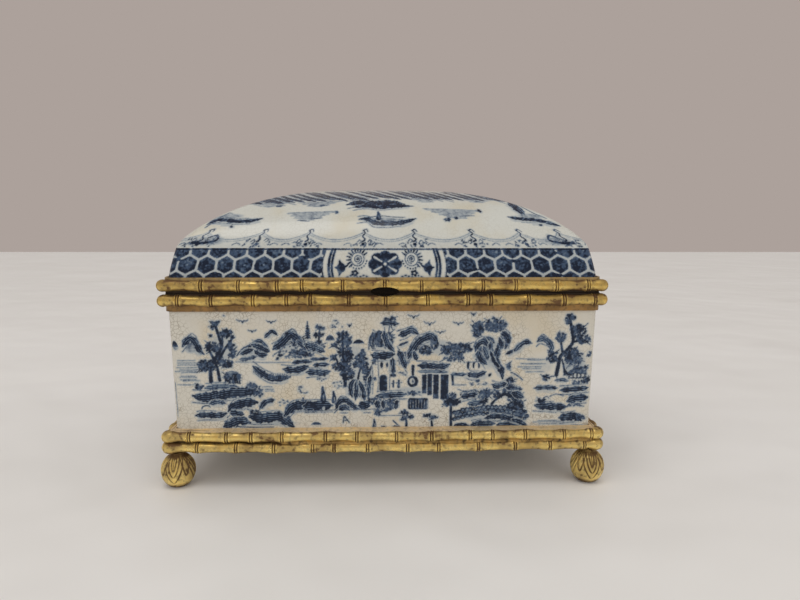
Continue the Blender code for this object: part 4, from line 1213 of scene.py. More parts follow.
FRONT_SCENE = (
    ("wash", 67, 86, 18.5, 26, 0.62), ("leaves", 62, 84.5, 7, 9.5, 0.75), ("leaves", 82.5, 61.5, 10.5, 4.5, 0.97),
    ("leaves", 76.5, 64.5, 11.5, 3.5, 0.9), ("leaves", 85, 55.5, 8.5, 7, 0.97), ("leaves", 73.5, 58, 5, 4.5, 0.9),
    ("wash", 68, 44, 50, 10, 0.5), ("hedge", 69, 46.3, 49, 8.5), ("leaves", 124, 99.5, 8, 8, 0.95),
    ("leaves", 122, 82.5, 10.5, 10.5, 0.9), ("leaves", 126.5, 75, 8.5, 5, 0.85), ("leaves", 118, 72.5, 5, 3.5, 0.95),
    ("wash", 121.5, 79.5, 20, 22.5, 0.62), ("wash", 117.5, 39.5, 26, 5, 0.6), ("leaves", 77, 93.5, 5, 8, 0.85),
    ("leaves", 70, 104, 11.5, 8, 0.85), ("leaves", 58.5, 101, 7, 8, 0.95), ("wash", 32, 90, 28.5, 13, 0.5),
    ("leaves", 47.5, 89, 14, 6, 0.8), ("leaves", -0.5, 95, 10.5, 9.5, 0.7), ("leaves", 12, 82, 6, 8, 0.8),
    ("wash", 17.5, 61, 36.5, 8, 0.5), ("leaves", 43.5, 54, 9.5, 5, 0.95), ("leaves", 57.5, 59, 15, 4.5, 0.85),
    ("wash", 58, 70.5, 22.5, 8, 0.45), ("leaves", 1, 52.5, 13, 8, 0.7), ("wash", 102, 77.5, 17.5, 14, 0.3),
    ("wash", -121.5, 90.5, 13, 9.5, 0.8), ("wash", -131.5, 90.5, 5, 5, 0.8), ("leaves", -99, 99, 7.5, 5, 0.95),
    ("leaves", -108, 91.5, 8.5, 4.5, 0.97), ("leaves", -96, 88, 4.5, 7.5, 0.9), ("leaves", -113, 79, 9.5, 7, 1),
    ("leaves", -101, 80, 8.5, 5, 0.97), ("leaves", -105, 86, 5, 7.5, 0.97), ("wash", -103.5, 88, 19.5, 28, 0.5),
    ("leaves", -97, 70.5, 9.5, 6, 0.95), ("wash", -81.5, 87.5, 18.5, 10, 0.62), ("wash", -59, 93, 28, 13, 0.55),
    ("leaves", -55, 95, 9.5, 5, 0.95), ("leaves", -44, 90, 11, 4.5, 0.9), ("leaves", -53, 86, 14.5, 4.5, 0.7),
    ("leaves", -26, 94.5, 8.5, 7.5, 0.9), ("leaves", -24.5, 84, 7.5, 13, 0.95), ("leaves", -29, 77.5, 7.5, 5, 0.9),
    ("leaves", -24, 72, 8.5, 6, 0.97), ("leaves", -15, 81, 7, 9.5, 0.85), ("leaves", -11.5, 72, 5, 10, 0.85),
    ("wash", -20, 79, 24, 35.5, 0.45), ("leaves", -17, 62.5, 13, 7.5, 0.7), ("wash", -95, 59.5, 42.5, 10, 0.5),
    ("wash", -110.5, 46.5, 25.5, 6, 0.5), ("wash", -76, 40.5, 47.5, 5, 0.55), ("wash", -43.5, 73, 17, 7, 0.6),
    ("leaves", -83.5, 63, 9.5, 5, 0.85), ("mound", -132, 88, 5, 6.5),
    ("band", 3.1, 0.97, -127, 91, -124.5, 94.5, -121.5, 96, -118.5, 93, -116.5, 88.5, -114, 86),
    ("water", -124.5, 74.5, 14, 16.5),
    ("line", 2.1, 0.95, -110.5, 68, -110.5, 75, -108.5, 81, -103, 90, -104.5, 99, -106.5, 106),
    ("line", 1.7, 0.95, -105, 69, -106, 76.5, -107.5, 81.5, -110.5, 88.5, -111.5, 91),
    ("line", 1.7, 0.95, -105.5, 80.5, -102, 87.5, -97.5, 93.5, -95.5, 97),
    ("line", 1.4, 0.95, -102.5, 90.5, -102, 94.5, -102, 99.5), ("leaves", -107, 104.5, 4.5, 5.5, 0.97),
    ("leaves", -104.5, 106.5, 3, 2.5, 0.9), ("leaves", -109, 98, 1.5, 2, 0.9), ("leaves", -100, 99, 5.5, 5, 0.95),
    ("leaves", -96, 96.5, 3, 2.5, 0.9), ("leaves", -111.5, 91, 3.5, 2.5, 0.95), ("leaves", -108.5, 89, 6.5, 4, 0.95),
    ("leaves", -97.5, 91.5, 3, 6, 0.8), ("leaves", -96, 86, 5, 3, 0.75), ("leaves", -114.5, 80.5, 4, 3.5, 0.97),
    ("leaves", -114, 77, 6, 4, 0.97), ("leaves", -110, 78, 4.5, 5.5, 0.9), ("leaves", -100, 79.5, 5.5, 4.5, 0.95),
    ("leaves", -104, 81, 3, 3.5, 0.8), ("hut", -97, 67, 10.5, 9), ("leaves", -118, 65, 5, 4, 0.9),
    ("band", 3, 0.55, -114.5, 64, -106, 65, -98.5, 64.5, -91.5, 63.5),
    ("band", 5, 0.97, -122.5, 59, -116, 58, -108.5, 59, -101, 60, -95, 61, -81.5, 61.5),
    ("band", 2.2, 0.85, -112.5, 53.5, -107.5, 55, -102, 54),
    ("line", 0.8, 0.7, -117.5, 50.5, -116.5, 52, -113.5, 52.5, -112, 51.5),
    ("band", 3.1, 0.95, -121.5, 46, -115.5, 46.5, -107.5, 46, -101.5, 47.5),
    ("band", 4.6, 0.97, -100.5, 48.5, -96.5, 52, -91, 54, -86, 54.5, -82, 54.5),
    ("band", 3, 0.9, -99.5, 47.5, -95.5, 47.5, -91, 46.5),
    ("band", 4.4, 0.85, -104, 38.5, -99, 40.5, -94, 42.5, -87, 41),
    ("line", 0.4, 0.7, -133.6, 67.5, -133.3, 56, -133.1, 45.5), ("speckle", -99.5, 110.8, 2, 2),
    ("bird", -88.9, 107.1, 7, 2.6), ("bird", -71.1, 106.6, 6, 2.4), ("bird", -83.1, 100.8, 5, 1.8),
    ("band", 1.8, 0.8, -93.5, 85, -89, 89, -84.5, 91.5, -79.5, 94.5, -76, 92.5, -73, 88.5),
    ("band", 2.5, 0.93, -91, 86, -87.5, 87.5, -83, 89),
    ("band", 2.9, 0.95, -83.5, 92, -79.5, 90.5, -75.5, 88.5, -73, 87.5),
    ("band", 2.6, 0.93, -82, 88, -78.5, 85.5, -74.5, 85.5), ("band", 2, 0.7, -92, 82.5, -87, 83, -81, 84.5),
    ("band", 1.8, 0.97, -75.5, 96.5, -73, 99, -70.5, 100.5, -67.5, 98),
    ("band", 4.1, 0.95, -70.5, 89, -66.5, 92, -62.5, 95.5, -59, 98, -55, 95, -51, 90.5),
    ("line", 0.7, 0.8, -62, 99, -58.5, 102, -56, 100.5, -55.5, 98), ("band", 3, 0.75, -55, 94, -50, 90.5, -45.5, 88),
    ("pagoda", -48.5, 96, 3, 10.5), ("speckle", -62.5, 87.5, 16.5, 9), ("leaves", -57.5, 92, 2, 2, 0.97),
    ("leaves", -66.5, 85, 4, 1.5, 0.97), ("leaves", -68, 83, 1.5, 1.5, 0.9), ("leaves", -53.5, 87, 4.5, 3.5, 0.8),
    ("band", 2.1, 0.85, -59, 80, -53, 81, -45.5, 81),
    ("band", 3.4, 0.95, -64.5, 76, -60.5, 75.5, -55.5, 75.5, -49, 78),
    ("band", 3.3, 0.95, -83.5, 78, -79, 74, -73, 70.5, -67.5, 70, -60.5, 71), ("fence", -67.5, 71.5, 13, 3),
    ("line", 0.4, 0.25, -94.5, 81, -77.5, 80.5, -60, 80.5), ("leaves", -85.5, 64, 7.5, 6, 0.75),
    ("leaves", -81, 60, 5.5, 4, 0.7), ("speckle", -53, 62.5, 7.5, 4.5), ("water", -74, 63.5, 9, 4),
    ("band", 2.6, 0.93, -80.5, 50, -77.5, 54, -74, 55.5, -71, 56), ("speckle", -64, 54, 8, 5),
    ("band", 5.4, 0.97, -87, 45, -81, 44, -73.5, 44.5, -67.5, 44.5, -63.5, 42, -59.5, 38),
    ("leaves", -84, 48, 5.5, 3, 0.95), ("hole", -70, 39.5, 4, 5.5), ("line", 0.7, 0.95, -96, 38.5, -87, 38, -72, 38),
    ("band", 4.8, 0.98, -64.5, 45.5, -61, 50, -57, 52, -52.5, 52, -38.5, 51.5, -34.5, 52),
    ("figure", -52.5, 53.5, 2.5, 4), ("leaves", -41.5, 98, 5.5, 3.5, 0.97), ("leaves", -40.5, 102.5, 6, 3, 0.7),
    ("leaves", -42, 93, 4.5, 3, 0.85), ("line", 1.1, 0.9, -41.5, 92.5, -41.5, 98.5, -40.5, 103),
    ("band", 3.5, 0.75, -50.5, 92, -45.5, 90.5, -38.5, 87.5), ("moundlet", -34.5, 92, 6.5, 6),
    ("mound", -16.5, 90.5, 8, 4.5), ("speckle", -29.9, 105.1, 7, 4.5), ("bird", -22.2, 104.2, 2.6, 2.4),
    ("line", 1.9, 0.95, -25.5, 65, -25.5, 72.5, -26, 80, -26.5, 87.5, -26.5, 95.5, -26.5, 99.5),
    ("line", 1.3, 0.92, -27, 75.5, -29.5, 78, -30.5, 82, -32.5, 84.5),
    ("line", 1.2, 0.92, -25, 82.5, -23, 86.5, -22, 89), ("line", 1.1, 0.85, -27.5, 88.5, -30.5, 90, -33, 91.5),
    ("leaves", -26.5, 98.5, 6, 3.5, 0.97), ("leaves", -23.5, 94.5, 5.5, 5, 0.7), ("leaves", -32, 91.5, 5, 3, 0.8),
    ("leaves", -23, 86.5, 4, 5, 0.9), ("leaves", -23, 82.5, 3.5, 3, 0.9), ("leaves", -32, 83.5, 5, 3.5, 0.9),
    ("leaves", -26, 80.5, 3, 3.5, 1), ("leaves", -24, 74, 6, 5.5, 0.95), ("leaves", -28.5, 86, 3, 3, 0.85),
    ("line", 0.9, 0.85, -21.5, 71.5, -20, 69), ("line", 1.2, 0.9, -17.5, 67, -16.5, 73, -15, 78, -15, 82, -16.5, 85),
    ("leaves", -14, 85.5, 3.5, 5.5, 0.8), ("leaves", -18.5, 78.5, 3.5, 3, 0.9), ("leaves", -12.5, 79.5, 4, 3, 0.85),
    ("leaves", -11.5, 75, 5, 2.5, 0.85), ("band", 2.4, 0.9, -19, 69, -22, 65, -21, 57.5),
    ("band", 2.4, 0.9, -18, 68.5, -18, 62.5, -19, 55.5), ("band", 2.4, 0.9, -16.5, 68, -14, 62, -13, 55),
    ("band", 2, 0.85, -9, 72, -10, 65, -10.5, 57.5), ("band", 4.8, 0.98, -52, 51.5, -43.5, 52, -34, 52),
    ("hole", -39.5, 50, 2, 2.5), ("cone", -40, 55.5, 4.5, 8.5), ("cone", -33, 55, 4, 6),
    ("band", 2.9, 0.93, -31.5, 50, -28.5, 55, -24.5, 55, -20.5, 51.5, -16, 49.5),
    ("band", 2.8, 0.85, -29.5, 49, -26, 51, -23, 49), ("band", 4.1, 0.97, -17, 51.5, -13.5, 52, -10, 51.5),
    ("leaves", -8.5, 55.5, 6, 4.5, 0.7), ("line", 0.5, 0.9, -51, 48.5, -33.5, 49, -16.5, 49, -6.5, 49.5),
    ("line", 0.6, 0.6, -29, 47, -24, 47), ("line", 0.6, 0.6, -13.5, 47, -9.5, 47),
    ("line", 0.8, 0.9, -26.5, 44.5, -27, 40.5), ("line", 0.8, 0.9, -26, 44.5, -23, 40.5),
    ("line", 0.6, 0.8, -27, 42, -24, 42), ("cone", -7, 37.5, 3, 5), ("moundlet", -44.5, 38, 7.5, 3),
    ("band", 2.2, 0.8, -45.5, 78.5, -40.5, 79, -35.5, 79),
    ("band", 3.3, 0.8, -50, 74, -44, 74, -39.5, 73.5, -35, 74.5),
    ("band", 1.7, 0.6, -47.5, 82.5, -41.5, 82.5, -36, 83), ("speckle", -39.5, 70, 11, 3),
    ("speckle", -29, 65.5, 8, 5.5), ("band", 2.3, 0.95, -2.5, 105.5, 2.5, 105.5, 8.5, 105),
    ("leaves", 3.5, 108, 6.5, 3, 0.9), ("line", 0.7, 0.8, 3, 104, 2.5, 99.5), ("line", 0.7, 0.8, 4, 103.5, 5, 101),
    ("weep", -4, 94, 13, 13), ("band", 2.8, 0.85, -0.5, 100, 1, 94, 3, 90.5, 6, 87),
    ("line", 0.8, 0.85, -7.5, 99.5, -9.5, 95, -8.5, 90.5, -6, 89),
    ("band", 3.9, 0.96, -8.5, 85, -5, 84.5, 0, 84.5, 6, 85.5), ("line", 0.4, 0.8, -4.5, 82.5, -4, 72, -4.5, 61),
    ("line", 0.4, 0.8, -8, 77, -7.5, 67.5, -8, 59.5), ("leaves", -7, 80.5, 2.5, 3, 0.97),
    ("leaves", -6.5, 69.5, 1.5, 1.5, 0.97), ("oval", -2, 78.5, 2, 4), ("oval", 1.5, 78.5, 1.5, 3),
    ("band", 2.2, 0.92, 5, 83, 5.5, 77, 5.5, 72), ("leaves", 5.5, 71.5, 4, 2, 0.95), ("door", -1, 60.5, 5, 11.5),
    ("line", 0.4, 0.7, 3.5, 82, 3, 61.5), ("band", 3.2, 0.85, 9, 97.5, 13, 99, 17, 101, 21, 98.5),
    ("band", 1.2, 0.8, 9, 91, 15, 93.5), ("band", 3.7, 0.87, 15, 82.5, 18, 89, 21.5, 93.5, 26, 96, 30, 97, 34, 92),
    ("leaves", 26, 88, 7.5, 5.5, 0.95), ("band", 2.3, 0.9, 18.5, 87, 20.5, 81.5),
    ("band", 3, 0.87, 8.5, 87.5, 11, 83, 13.5, 76.5), ("leaves", 31.5, 91.5, 4.5, 5.5, 0.8),
    ("leaves", 38.5, 87.5, 6.5, 4, 0.85), ("line", 1.7, 0.93, 18, 77.5, 18, 72), ("ring", 18, 67.5, 7, 7.5),
    ("leaves", 18, 60, 8.5, 2.5, 0.6), ("figure", 5.5, 64, 2, 4.5), ("figure", 9, 64, 3.5, 5),
    ("speckle", 10, 72.5, 8, 3), ("band", 3.6, 0.95, 21.5, 78, 28.5, 77.5, 36, 77, 41.5, 78.5),
    ("band", 1.8, 0.5, 21.5, 74, 31, 74, 40.5, 73.5), ("panel", 25.5, 59.5, 3, 12.5), ("panel", 29, 58.5, 3, 14),
    ("panel", 33, 56, 3.5, 16), ("panel", 38.5, 55.5, 5, 16.5), ("band", 3.1, 0.75, -5.5, 58, 0, 58.5, 14, 59),
    ("line", 0.4, 0.7, -6.5, 57, 16, 56), ("band", 2.8, 0.9, -5.5, 54.5, -3.5, 50),
    ("band", 2.2, 0.9, -1, 55, -1, 50), ("band", 2.2, 0.92, 8, 55, 7, 49.5), ("speckle", 3.5, 52.5, 7, 5.5),
    ("line", 0.4, 0.5, -5.5, 45, 15, 45), ("leaves", -4, 47, 4.5, 4, 0.8), ("drum", 21.5, 49, 13, 7.5),
    ("leaves", 40.5, 53, 5.5, 4.5, 0.8), ("line", 1.5, 0.95, 43, 49.5, 43, 36),
    ("line", 1.4, 0.95, 14, 36.5, 14, 41.5, 13, 44), ("leaves", 12.5, 47, 6, 2.5, 0.95),
    ("leaves", 11.5, 43, 4, 2.5, 0.95), ("leaves", 16.5, 44, 5, 2.5, 0.95), ("line", 1.4, 0.95, 31, 36, 30.5, 41),
    ("leaves", 28, 45, 6, 2.5, 0.95), ("leaves", 32, 43.5, 5, 3, 0.85), ("line", 0.9, 0.85, 5.5, 41.5, 8, 39, 10, 37),
    ("band", 1.5, 0.9, 5.5, 37.5, 10, 37), ("bird", 18.2, 109.8, 7, 3), ("bird", 28.4, 105.3, 7, 3),
    ("bird", 35.1, 99.6, 6.5, 2.2), ("bird", 46.6, 105.2, 6.6, 2.6), ("bird", 56.1, 111.1, 3.2, 2.4),
    ("leaves", -0.5, 37, 3, 1.5, 0.95), ("line", 0.7, 0.9, 25, 36, 37, 36.5), ("leaves", 39, 88.5, 6, 4.5, 0.85),
    ("leaves", 45.5, 90, 6.5, 3.5, 0.92), ("leaves", 52, 90, 5, 3, 0.9), ("leaves", 47.5, 83.5, 5.5, 5.5, 0.95),
    ("fluff", 43, 84.5, 12, 6.5), ("line", 1.5, 0.95, 53.5, 79.5, 53.5, 76), ("line", 1.1, 0.9, 57, 79, 57, 76.5),
    ("line", 1.1, 0.9, 60.5, 79, 60.5, 76.5), ("line", 0.5, 0.6, 52.5, 80, 61, 80),
    ("leaves", 59.5, 102, 6.5, 7.5, 0.85), ("fluff", 67.5, 103.5, 8.5, 6.5), ("fluff", 73, 104, 7.5, 6),
    ("leaves", 70, 101.5, 6, 3, 0.7), ("band", 3.3, 0.8, 75, 99.5, 78, 96, 79.5, 92),
    ("leaves", 78.5, 93.5, 3, 2.5, 0.9), ("band", 2.3, 0.85, 62, 94.5, 66, 95.5, 70, 92.5),
    ("band", 3, 0.92, 58, 87, 59, 91, 63, 93.5, 66, 89.5, 68.5, 83.5), ("band", 2.6, 0.65, 63, 90, 65, 86, 66, 81.5),
    ("band", 3, 0.85, 59.5, 87, 61, 82.5, 65.5, 78.5), ("band", 2.3, 0.6, 67.5, 93, 68, 88, 70.5, 84.5),
    ("band", 3.3, 0.95, 73, 95.5, 74, 91.5, 72, 86.5, 71.5, 80.5, 75, 74.5, 76, 69),
    ("band", 1.7, 0.9, 67.5, 87, 70, 80.5, 73.5, 76.5), ("band", 1.7, 0.93, 77.5, 85, 80.5, 86.5, 84.5, 88.5, 88, 92),
    ("band", 2.9, 0.85, 53, 72.5, 56, 71.5, 60, 71.5, 65, 73.5), ("band", 1.8, 0.6, 42.5, 72, 52.5, 72),
    ("line", 1.4, 0.9, 43.5, 71, 44, 65.5), ("line", 0.5, 0.8, 43.5, 65, 52.5, 65),
    ("leaves", 67.5, 71.5, 1.5, 1.5, 1), ("leaves", 59.5, 67.5, 3, 1.5, 0.85), ("speckle", 60, 66, 14, 2),
    ("line", 0.7, 0.8, 81.5, 73, 85, 71.5, 88.5, 69), ("leaves", 81.5, 68, 6, 3, 0.93),
    ("leaves", 79.5, 77.5, 3, 5, 0.6), ("band", 2.8, 0.85, 69.5, 65, 73.5, 64, 78.5, 66),
    ("band", 2.3, 0.8, 78.5, 63, 83.5, 62.5, 89, 62), ("band", 3.8, 0.95, 80, 60, 83, 57.5, 86.5, 54.5),
    ("leaves", 85.5, 51, 9.5, 5.5, 0.98), ("leaves", 81.5, 63.5, 4.5, 3, 0.9),
    ("band", 2.8, 0.93, 49.5, 57, 54.5, 58, 60, 59), ("leaves", 65.5, 59.5, 6.5, 6, 0.85),
    ("fluff", 69.5, 59.5, 7.5, 5), ("leaves", 76, 58.5, 6, 3, 0.9), ("band", 3.3, 0.65, 54, 52.5, 59, 53, 64, 53.5),
    ("leaves", 64.5, 54.5, 4.5, 5.5, 0.97), ("line", 1.4, 0.9, 69.5, 52, 72, 55, 78.5, 59),
    ("leaves", 43, 57.5, 6, 4, 0.9), ("leaves", 44, 53.5, 9, 4, 0.93), ("line", 1.4, 0.95, 43, 50, 43.5, 36),
    ("ring", 75.5, 49.5, 3, 3), ("band", 2.9, 0.95, 65.5, 42.5, 71.5, 44, 79.5, 43, 90, 40),
    ("band", 3.3, 0.95, 56.5, 38, 60.5, 39, 67, 39, 72, 39), ("band", 2.3, 0.95, 45, 37, 50, 38.5, 56, 36.5),
    ("band", 2.8, 0.9, 73.5, 38, 79.5, 38.5, 89.5, 35.5), ("band", 2.5, 0.8, 83, 87, 86, 90.5, 90, 93, 94, 92),
    ("band", 2.8, 0.65, 97.5, 93, 100.5, 95, 104.5, 93, 107, 89.5, 105.5, 86.5), ("water", 95, 77.5, 19, 8.5),
    ("line", 0.4, 0.3, 84.5, 82, 104.5, 81.5),
    ("line", 2.1, 0.95, 111, 71.5, 112, 78, 113, 83.5, 117, 87.5, 120.5, 93, 119.5, 99.5, 118.5, 104.5, 117, 109.5),
    ("line", 1.3, 0.92, 114, 86.5, 113, 91.5, 112, 95), ("line", 1.3, 0.9, 121, 93, 126, 93.5),
    ("line", 1.2, 0.85, 116.5, 71.5, 115.5, 76.5, 114, 81.5), ("leaves", 118, 109, 6, 4, 0.85),
    ("leaves", 116.5, 106, 3, 3, 0.7), ("leaves", 122.5, 101.5, 7, 5.5, 0.95), ("leaves", 127, 94.5, 7.5, 5.5, 0.93),
    ("leaves", 124.5, 96, 3, 4, 0.95), ("leaves", 112.5, 96, 6, 6, 0.75), ("leaves", 108, 85, 6, 4, 0.9),
    ("leaves", 107.5, 81.5, 6.5, 4, 0.95), ("leaves", 120, 84.5, 8, 8.5, 0.93), ("fluff", 123.5, 80, 8, 5),
    ("hut", 124.5, 69, 12, 7), ("leaves", 104, 69.5, 5, 3.5, 0.95),
    ("line", 0.7, 0.8, 107, 70, 110.5, 70.5, 112, 68.5), ("leaves", 130.5, 68, 5.5, 4.5, 0.95),
    ("band", 2.3, 0.85, 97, 62.5, 104, 63, 112, 62.5), ("band", 2.8, 0.93, 114, 61, 122, 61.5, 132.5, 62.5),
    ("band", 1.8, 0.6, 110.5, 67.5, 115, 68, 119, 67), ("fluff", 126, 66, 9, 2.5),
    ("band", 3.9, 0.97, 98, 51, 104.5, 50.5, 111, 50, 119, 50), ("leaves", 102, 54, 6, 3.5, 0.85),
    ("line", 0.6, 0.7, 103.5, 56, 105.5, 57, 107, 55.5), ("line", 0.6, 0.6, 107.5, 57, 111.5, 58.5, 116.5, 57),
    ("band", 4, 0.85, 119, 53.5, 124.5, 55.5, 132.5, 56), ("fluff", 124, 51, 9, 2),
    ("band", 4.3, 0.97, 114.5, 42.5, 120, 43, 125, 43.5, 129, 40.5), ("fluff", 128.5, 42, 7, 4),
    ("band", 1.5, 0.7, 121.5, 37, 131.5, 36.5), ("water", 106, 38.5, 19, 2.5), ("leaves", 131.5, 85, 3, 2.5, 0.7),
    ("band", 3.5, 0.95, 83, 59.5, 87, 58, 90, 56.5), ("leaves", 86.5, 51, 7.5, 5.5, 0.97),
    ("line", 0.7, 0.8, 83.5, 72, 86, 70.5, 89, 68), ("fluff", 89, 45, 7.5, 5.5),
    ("band", 2.5, 0.9, 83.5, 41.5, 88.5, 40, 93, 37.5),
)


def closed_grid(rows, columns):
    """Faces of a sheet of points whose border dips inwards, closed behind by long strips."""
    number = grid_numbers(rows, columns)
    quads = np.stack([number[:-1, :-1], number[:-1, 1:], number[1:, 1:], number[1:, :-1]], axis=-1)
    faces = [tuple(quad) for quad in quads.reshape(-1, 4).tolist()]
    bottom, top = number[0].tolist(), number[-1].tolist()
    left, right = number[1:-1, 0].tolist(), number[1:-1, -1].tolist()
    for index in range(columns - 1):
        rising = left if index == 0 else []
        falling = right[::-1] if index == columns - 2 else []
        faces.append((bottom[index], *rising, top[index], top[index + 1], *falling, bottom[index + 1]))
    return faces


def edged(values):
    """The values with the first and the last doubled, for the border that dips inwards."""
    return np.concatenate([values[:1], values, values[-1:]])


def make_wall(side, scene, seed, shift=0.0, turned=1):
    """One wall's glaze, round to the middle of both corners."""
    start = 2 * QUARTER_OF[side] - 0.5
    places, walked, total = walk(BODY_HALF, CORNER, SKIN_STEP, start, start + 2)
    places, walked = np.append(places, start + 2), np.append(walked, total)
    levels = np.linspace(WALL_LOW, WALL_HIGH, round((WALL_HIGH - WALL_LOW) / SKIN_STEP))
    places, walked, levels = edged(places), edged(walked), edged(levels)
    rows, columns = len(levels), len(places)
    points = np.zeros((rows, columns, 3))
    for row, z in enumerate(levels):
        inset = BODY_DRAFT * (1 - (z - BODY_BOTTOM) / BODY_HEIGHT)
        proud = np.full(columns, SKIN_DEEP if row in (0, rows - 1) else SKIN_PROUD)
        proud[[0, -1]] = SKIN_DEEP
        for depth in (SKIN_DEEP, SKIN_PROUD):
            here = proud == depth
            x, y = outline_at(places[here], [half - inset + depth for half in BODY_HALF], CORNER + depth)
            points[row, here] = np.stack([x, y, np.full(len(x), z)], axis=1)
    across = np.tile(walked - total / 2, rows)
    art = Picture(across, np.repeat(levels, columns), seed)
    paint_scene(art, scene, shift, turned)
    name, spots = f"painted_wall_{side}", points.reshape(-1, 3) * MM
    mesh_piece(name, spots, closed_grid(rows, columns), BODY_GLAZE, "box", art.marks())


make_wall("front", FRONT_SCENE, 1)
make_wall("right", motifs(FRONT_SCENE, -140, 32), 2, 52.0)
make_wall("back", FRONT_SCENE, 3, 0.0, -1)
make_wall("left", motifs(FRONT_SCENE, -30, 140), 4, -52.0)


# Hinges: two plain brass butt hinges behind, each on a steel pin, with plates riveted through the bands. They
# keep the shapes that they were packed with.

HINGE_BRASS = brass_finish("hinge_brass", (0.60, 0.42, 0.17), (0.09, 0.055, 0.022), 0.5, 0.30)
RIVET_BRASS = brass_finish("rivet_brass", (0.70, 0.50, 0.20), (0.10, 0.06, 0.024), 0.35, 0.28)
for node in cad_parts:
    if "_rivet_" in node:
        dress(RIVET_BRASS, node)
    elif node.startswith("hinge_pin"):
        dress(STEEL, node)
    elif node.startswith("hinge_"):
        dress(HINGE_BRASS, node)


# Lid: the same porcelain, glazed smoother. Round its skirt runs a honeycomb band with a flower panel in the
# middle of each side, above it a beaded border hung in swags, and over the dome a lake with boats. All in mm.

LID_BOTTOM = 126.5
LID_SKIRT = 25.8
LID_LEAN = 5.0
LEAN_POWER = 1.5
SHOULDER = LID_BOTTOM + LID_SKIRT
SKIRT_LOW = 133.6
SKIRT_ROWS = 40
CELL_WIDTH = 11.87
CELL_RISE = 9.3
CELL_MIDDLE = 141.9
CELL_START = 40.8
CELL_GAP = 0.72


def paint_honeycomb(art):
    """Navy cells with a lighter ring and a pale dot, between pale blue lines. Across is from the side's middle."""
    root = math.sqrt(3)
    squash, rise = CELL_WIDTH * root / 2 / CELL_RISE, CELL_WIDTH * root
    wander = 0.22 * np.sin(art.across * 0.41) + 0.2 * np.sin(art.across * 0.173 + art.up * 0.5)
    across = np.abs(art.across) + wander - CELL_START
    up = (art.up - CELL_MIDDLE) * squash + 0.2 * np.sin(art.across * 0.29 + 2)
    inside = np.full(len(across), -1e3)
    centre = np.full(len(across), 1e3)
    for shift in (0, 0.5):
        aside = np.abs((across / CELL_WIDTH + shift + 0.5) % 1 - 0.5) * CELL_WIDTH
        above = np.abs((up / rise + shift + 0.5) % 1 - 0.5) * rise
        flat = np.maximum(aside, aside / 2 + above * root / 2)
        inside = np.maximum(inside, CELL_WIDTH / 2 - CELL_GAP - 0.85 * flat - 0.15 * np.hypot(aside, above))
        centre = np.minimum(centre, np.hypot(aside, above))
    art.ink = np.clip(inside, -art.REACH, art.REACH)
    ring = np.exp(-(((centre - 2.4) / 0.8) ** 2))
    dot = np.exp(-((centre / 0.65) ** 2))
    art.tone = 0.76 - 0.16 * ring - 0.6 * dot - 0.13 * np.clip((art.up - CELL_MIDDLE) / 8, -1, 1)
    smudge = np.sin(art.across * 0.117 + 1.3) * np.sin(art.up * 0.45 + art.across * 0.031)
    art.ink = np.minimum(art.ink + 1.1 * np.clip((smudge - 0.86) / 0.1, 0, 1), art.REACH)
    art.wash[:] = 0.46


PANEL_HALF = 38.0
PANEL_BULGE = 1.6
LEAF_AT = (27.5, 140.1)
SUN_AT = (17.2, 145.5)
CROSS_AT = (0.3, 142.5)


def on_oval(x, z, half_x, half_z, angle):
    """A place on an oval round a middle."""
    return x + half_x * math.cos(angle), z + half_z * math.sin(angle)


def paint_leaf_sprig(art, side):
    """Three pointed lobes round a middle, on a stalk bent inwards."""
    x, z = side * LEAF_AT[0], LEAF_AT[1]
    for tip_x, tip_z in ((3.8, 0.4), (1.2, 4.6), (1.0, -4.6)):
        lobe = [(x, z), (x + side * tip_x * 0.5, z + tip_z * 0.55), (x + side * tip_x, z + tip_z)]
        art.stroke(lobe, 4.4, 0.8, 0.7)
    art.dab(x, z, 2.8, 3.0, 0.8)
    art.stroke([(x, z), (x - side * 3.4, z + 1.2), (x - side * 5.4, z + 3.6)], 1.7, 0.95, 0.6)


def paint_sun_flower(art, side):
    """A curl inside a ring, with rays above and dots below it, and berries beneath."""
    x, z = side * SUN_AT[0], SUN_AT[1]
    art.stroke([on_oval(x, z, 4.1, 4.1, step * math.pi / 12) for step in range(25)], 0.5, 0.75)
    curl = [(0.7 + 0.1 * step, step * 0.52) for step in range(22)]
    art.stroke([on_oval(x, z, side * far, far, angle) for far, angle in curl], 0.55, 0.7)
    art.dab(x, z, 0.7, 0.7, 0.9)
    for step in range(11):
        art.stroke([on_oval(x, z, side * far, far, -0.75 + step * 0.33) for far in (5.0, 7.0)], 1.15, 0.97, 0.6)
    for step in range(8):
        art.dab(*on_oval(x, z, side * 5.9, 5.9, math.pi + 0.2 + step * 0.30), 0.5, 0.5, 0.85)
    for step in range(5):
        art.dab(*on_oval(x + side * 1.5, 136.9, 1.5, 1.3, step * 2 * math.pi / 5), 0.95, 0.8, 0.9)
    for step in range(7):
        art.dab(x - side * (6.0 - step * 2.0), 134.9 + 0.5 * math.sin(step * 1.7), 0.7, 0.5, 0.8)


def paint_cross_flower(art):
    """Eight round petals, parted by a bare cross."""
    art.dab(*CROSS_AT, 6.6, 5.2, 0.8)
    for step in range(8):
        art.dab(*on_oval(*CROSS_AT, 6.9, 4.9, step * math.pi / 4), 3.85, 3.35, 0.8)
    for angle in (0.62, math.pi - 0.62, math.pi + 0.62, -0.62):
        art.bare_line([on_oval(*CROSS_AT, *far, angle) for far in ((2.6, 2.6), (8.4, 7.4))], 0.8, 1.5)
    art.bare_oval(*CROSS_AT, 1.0, 1.0)


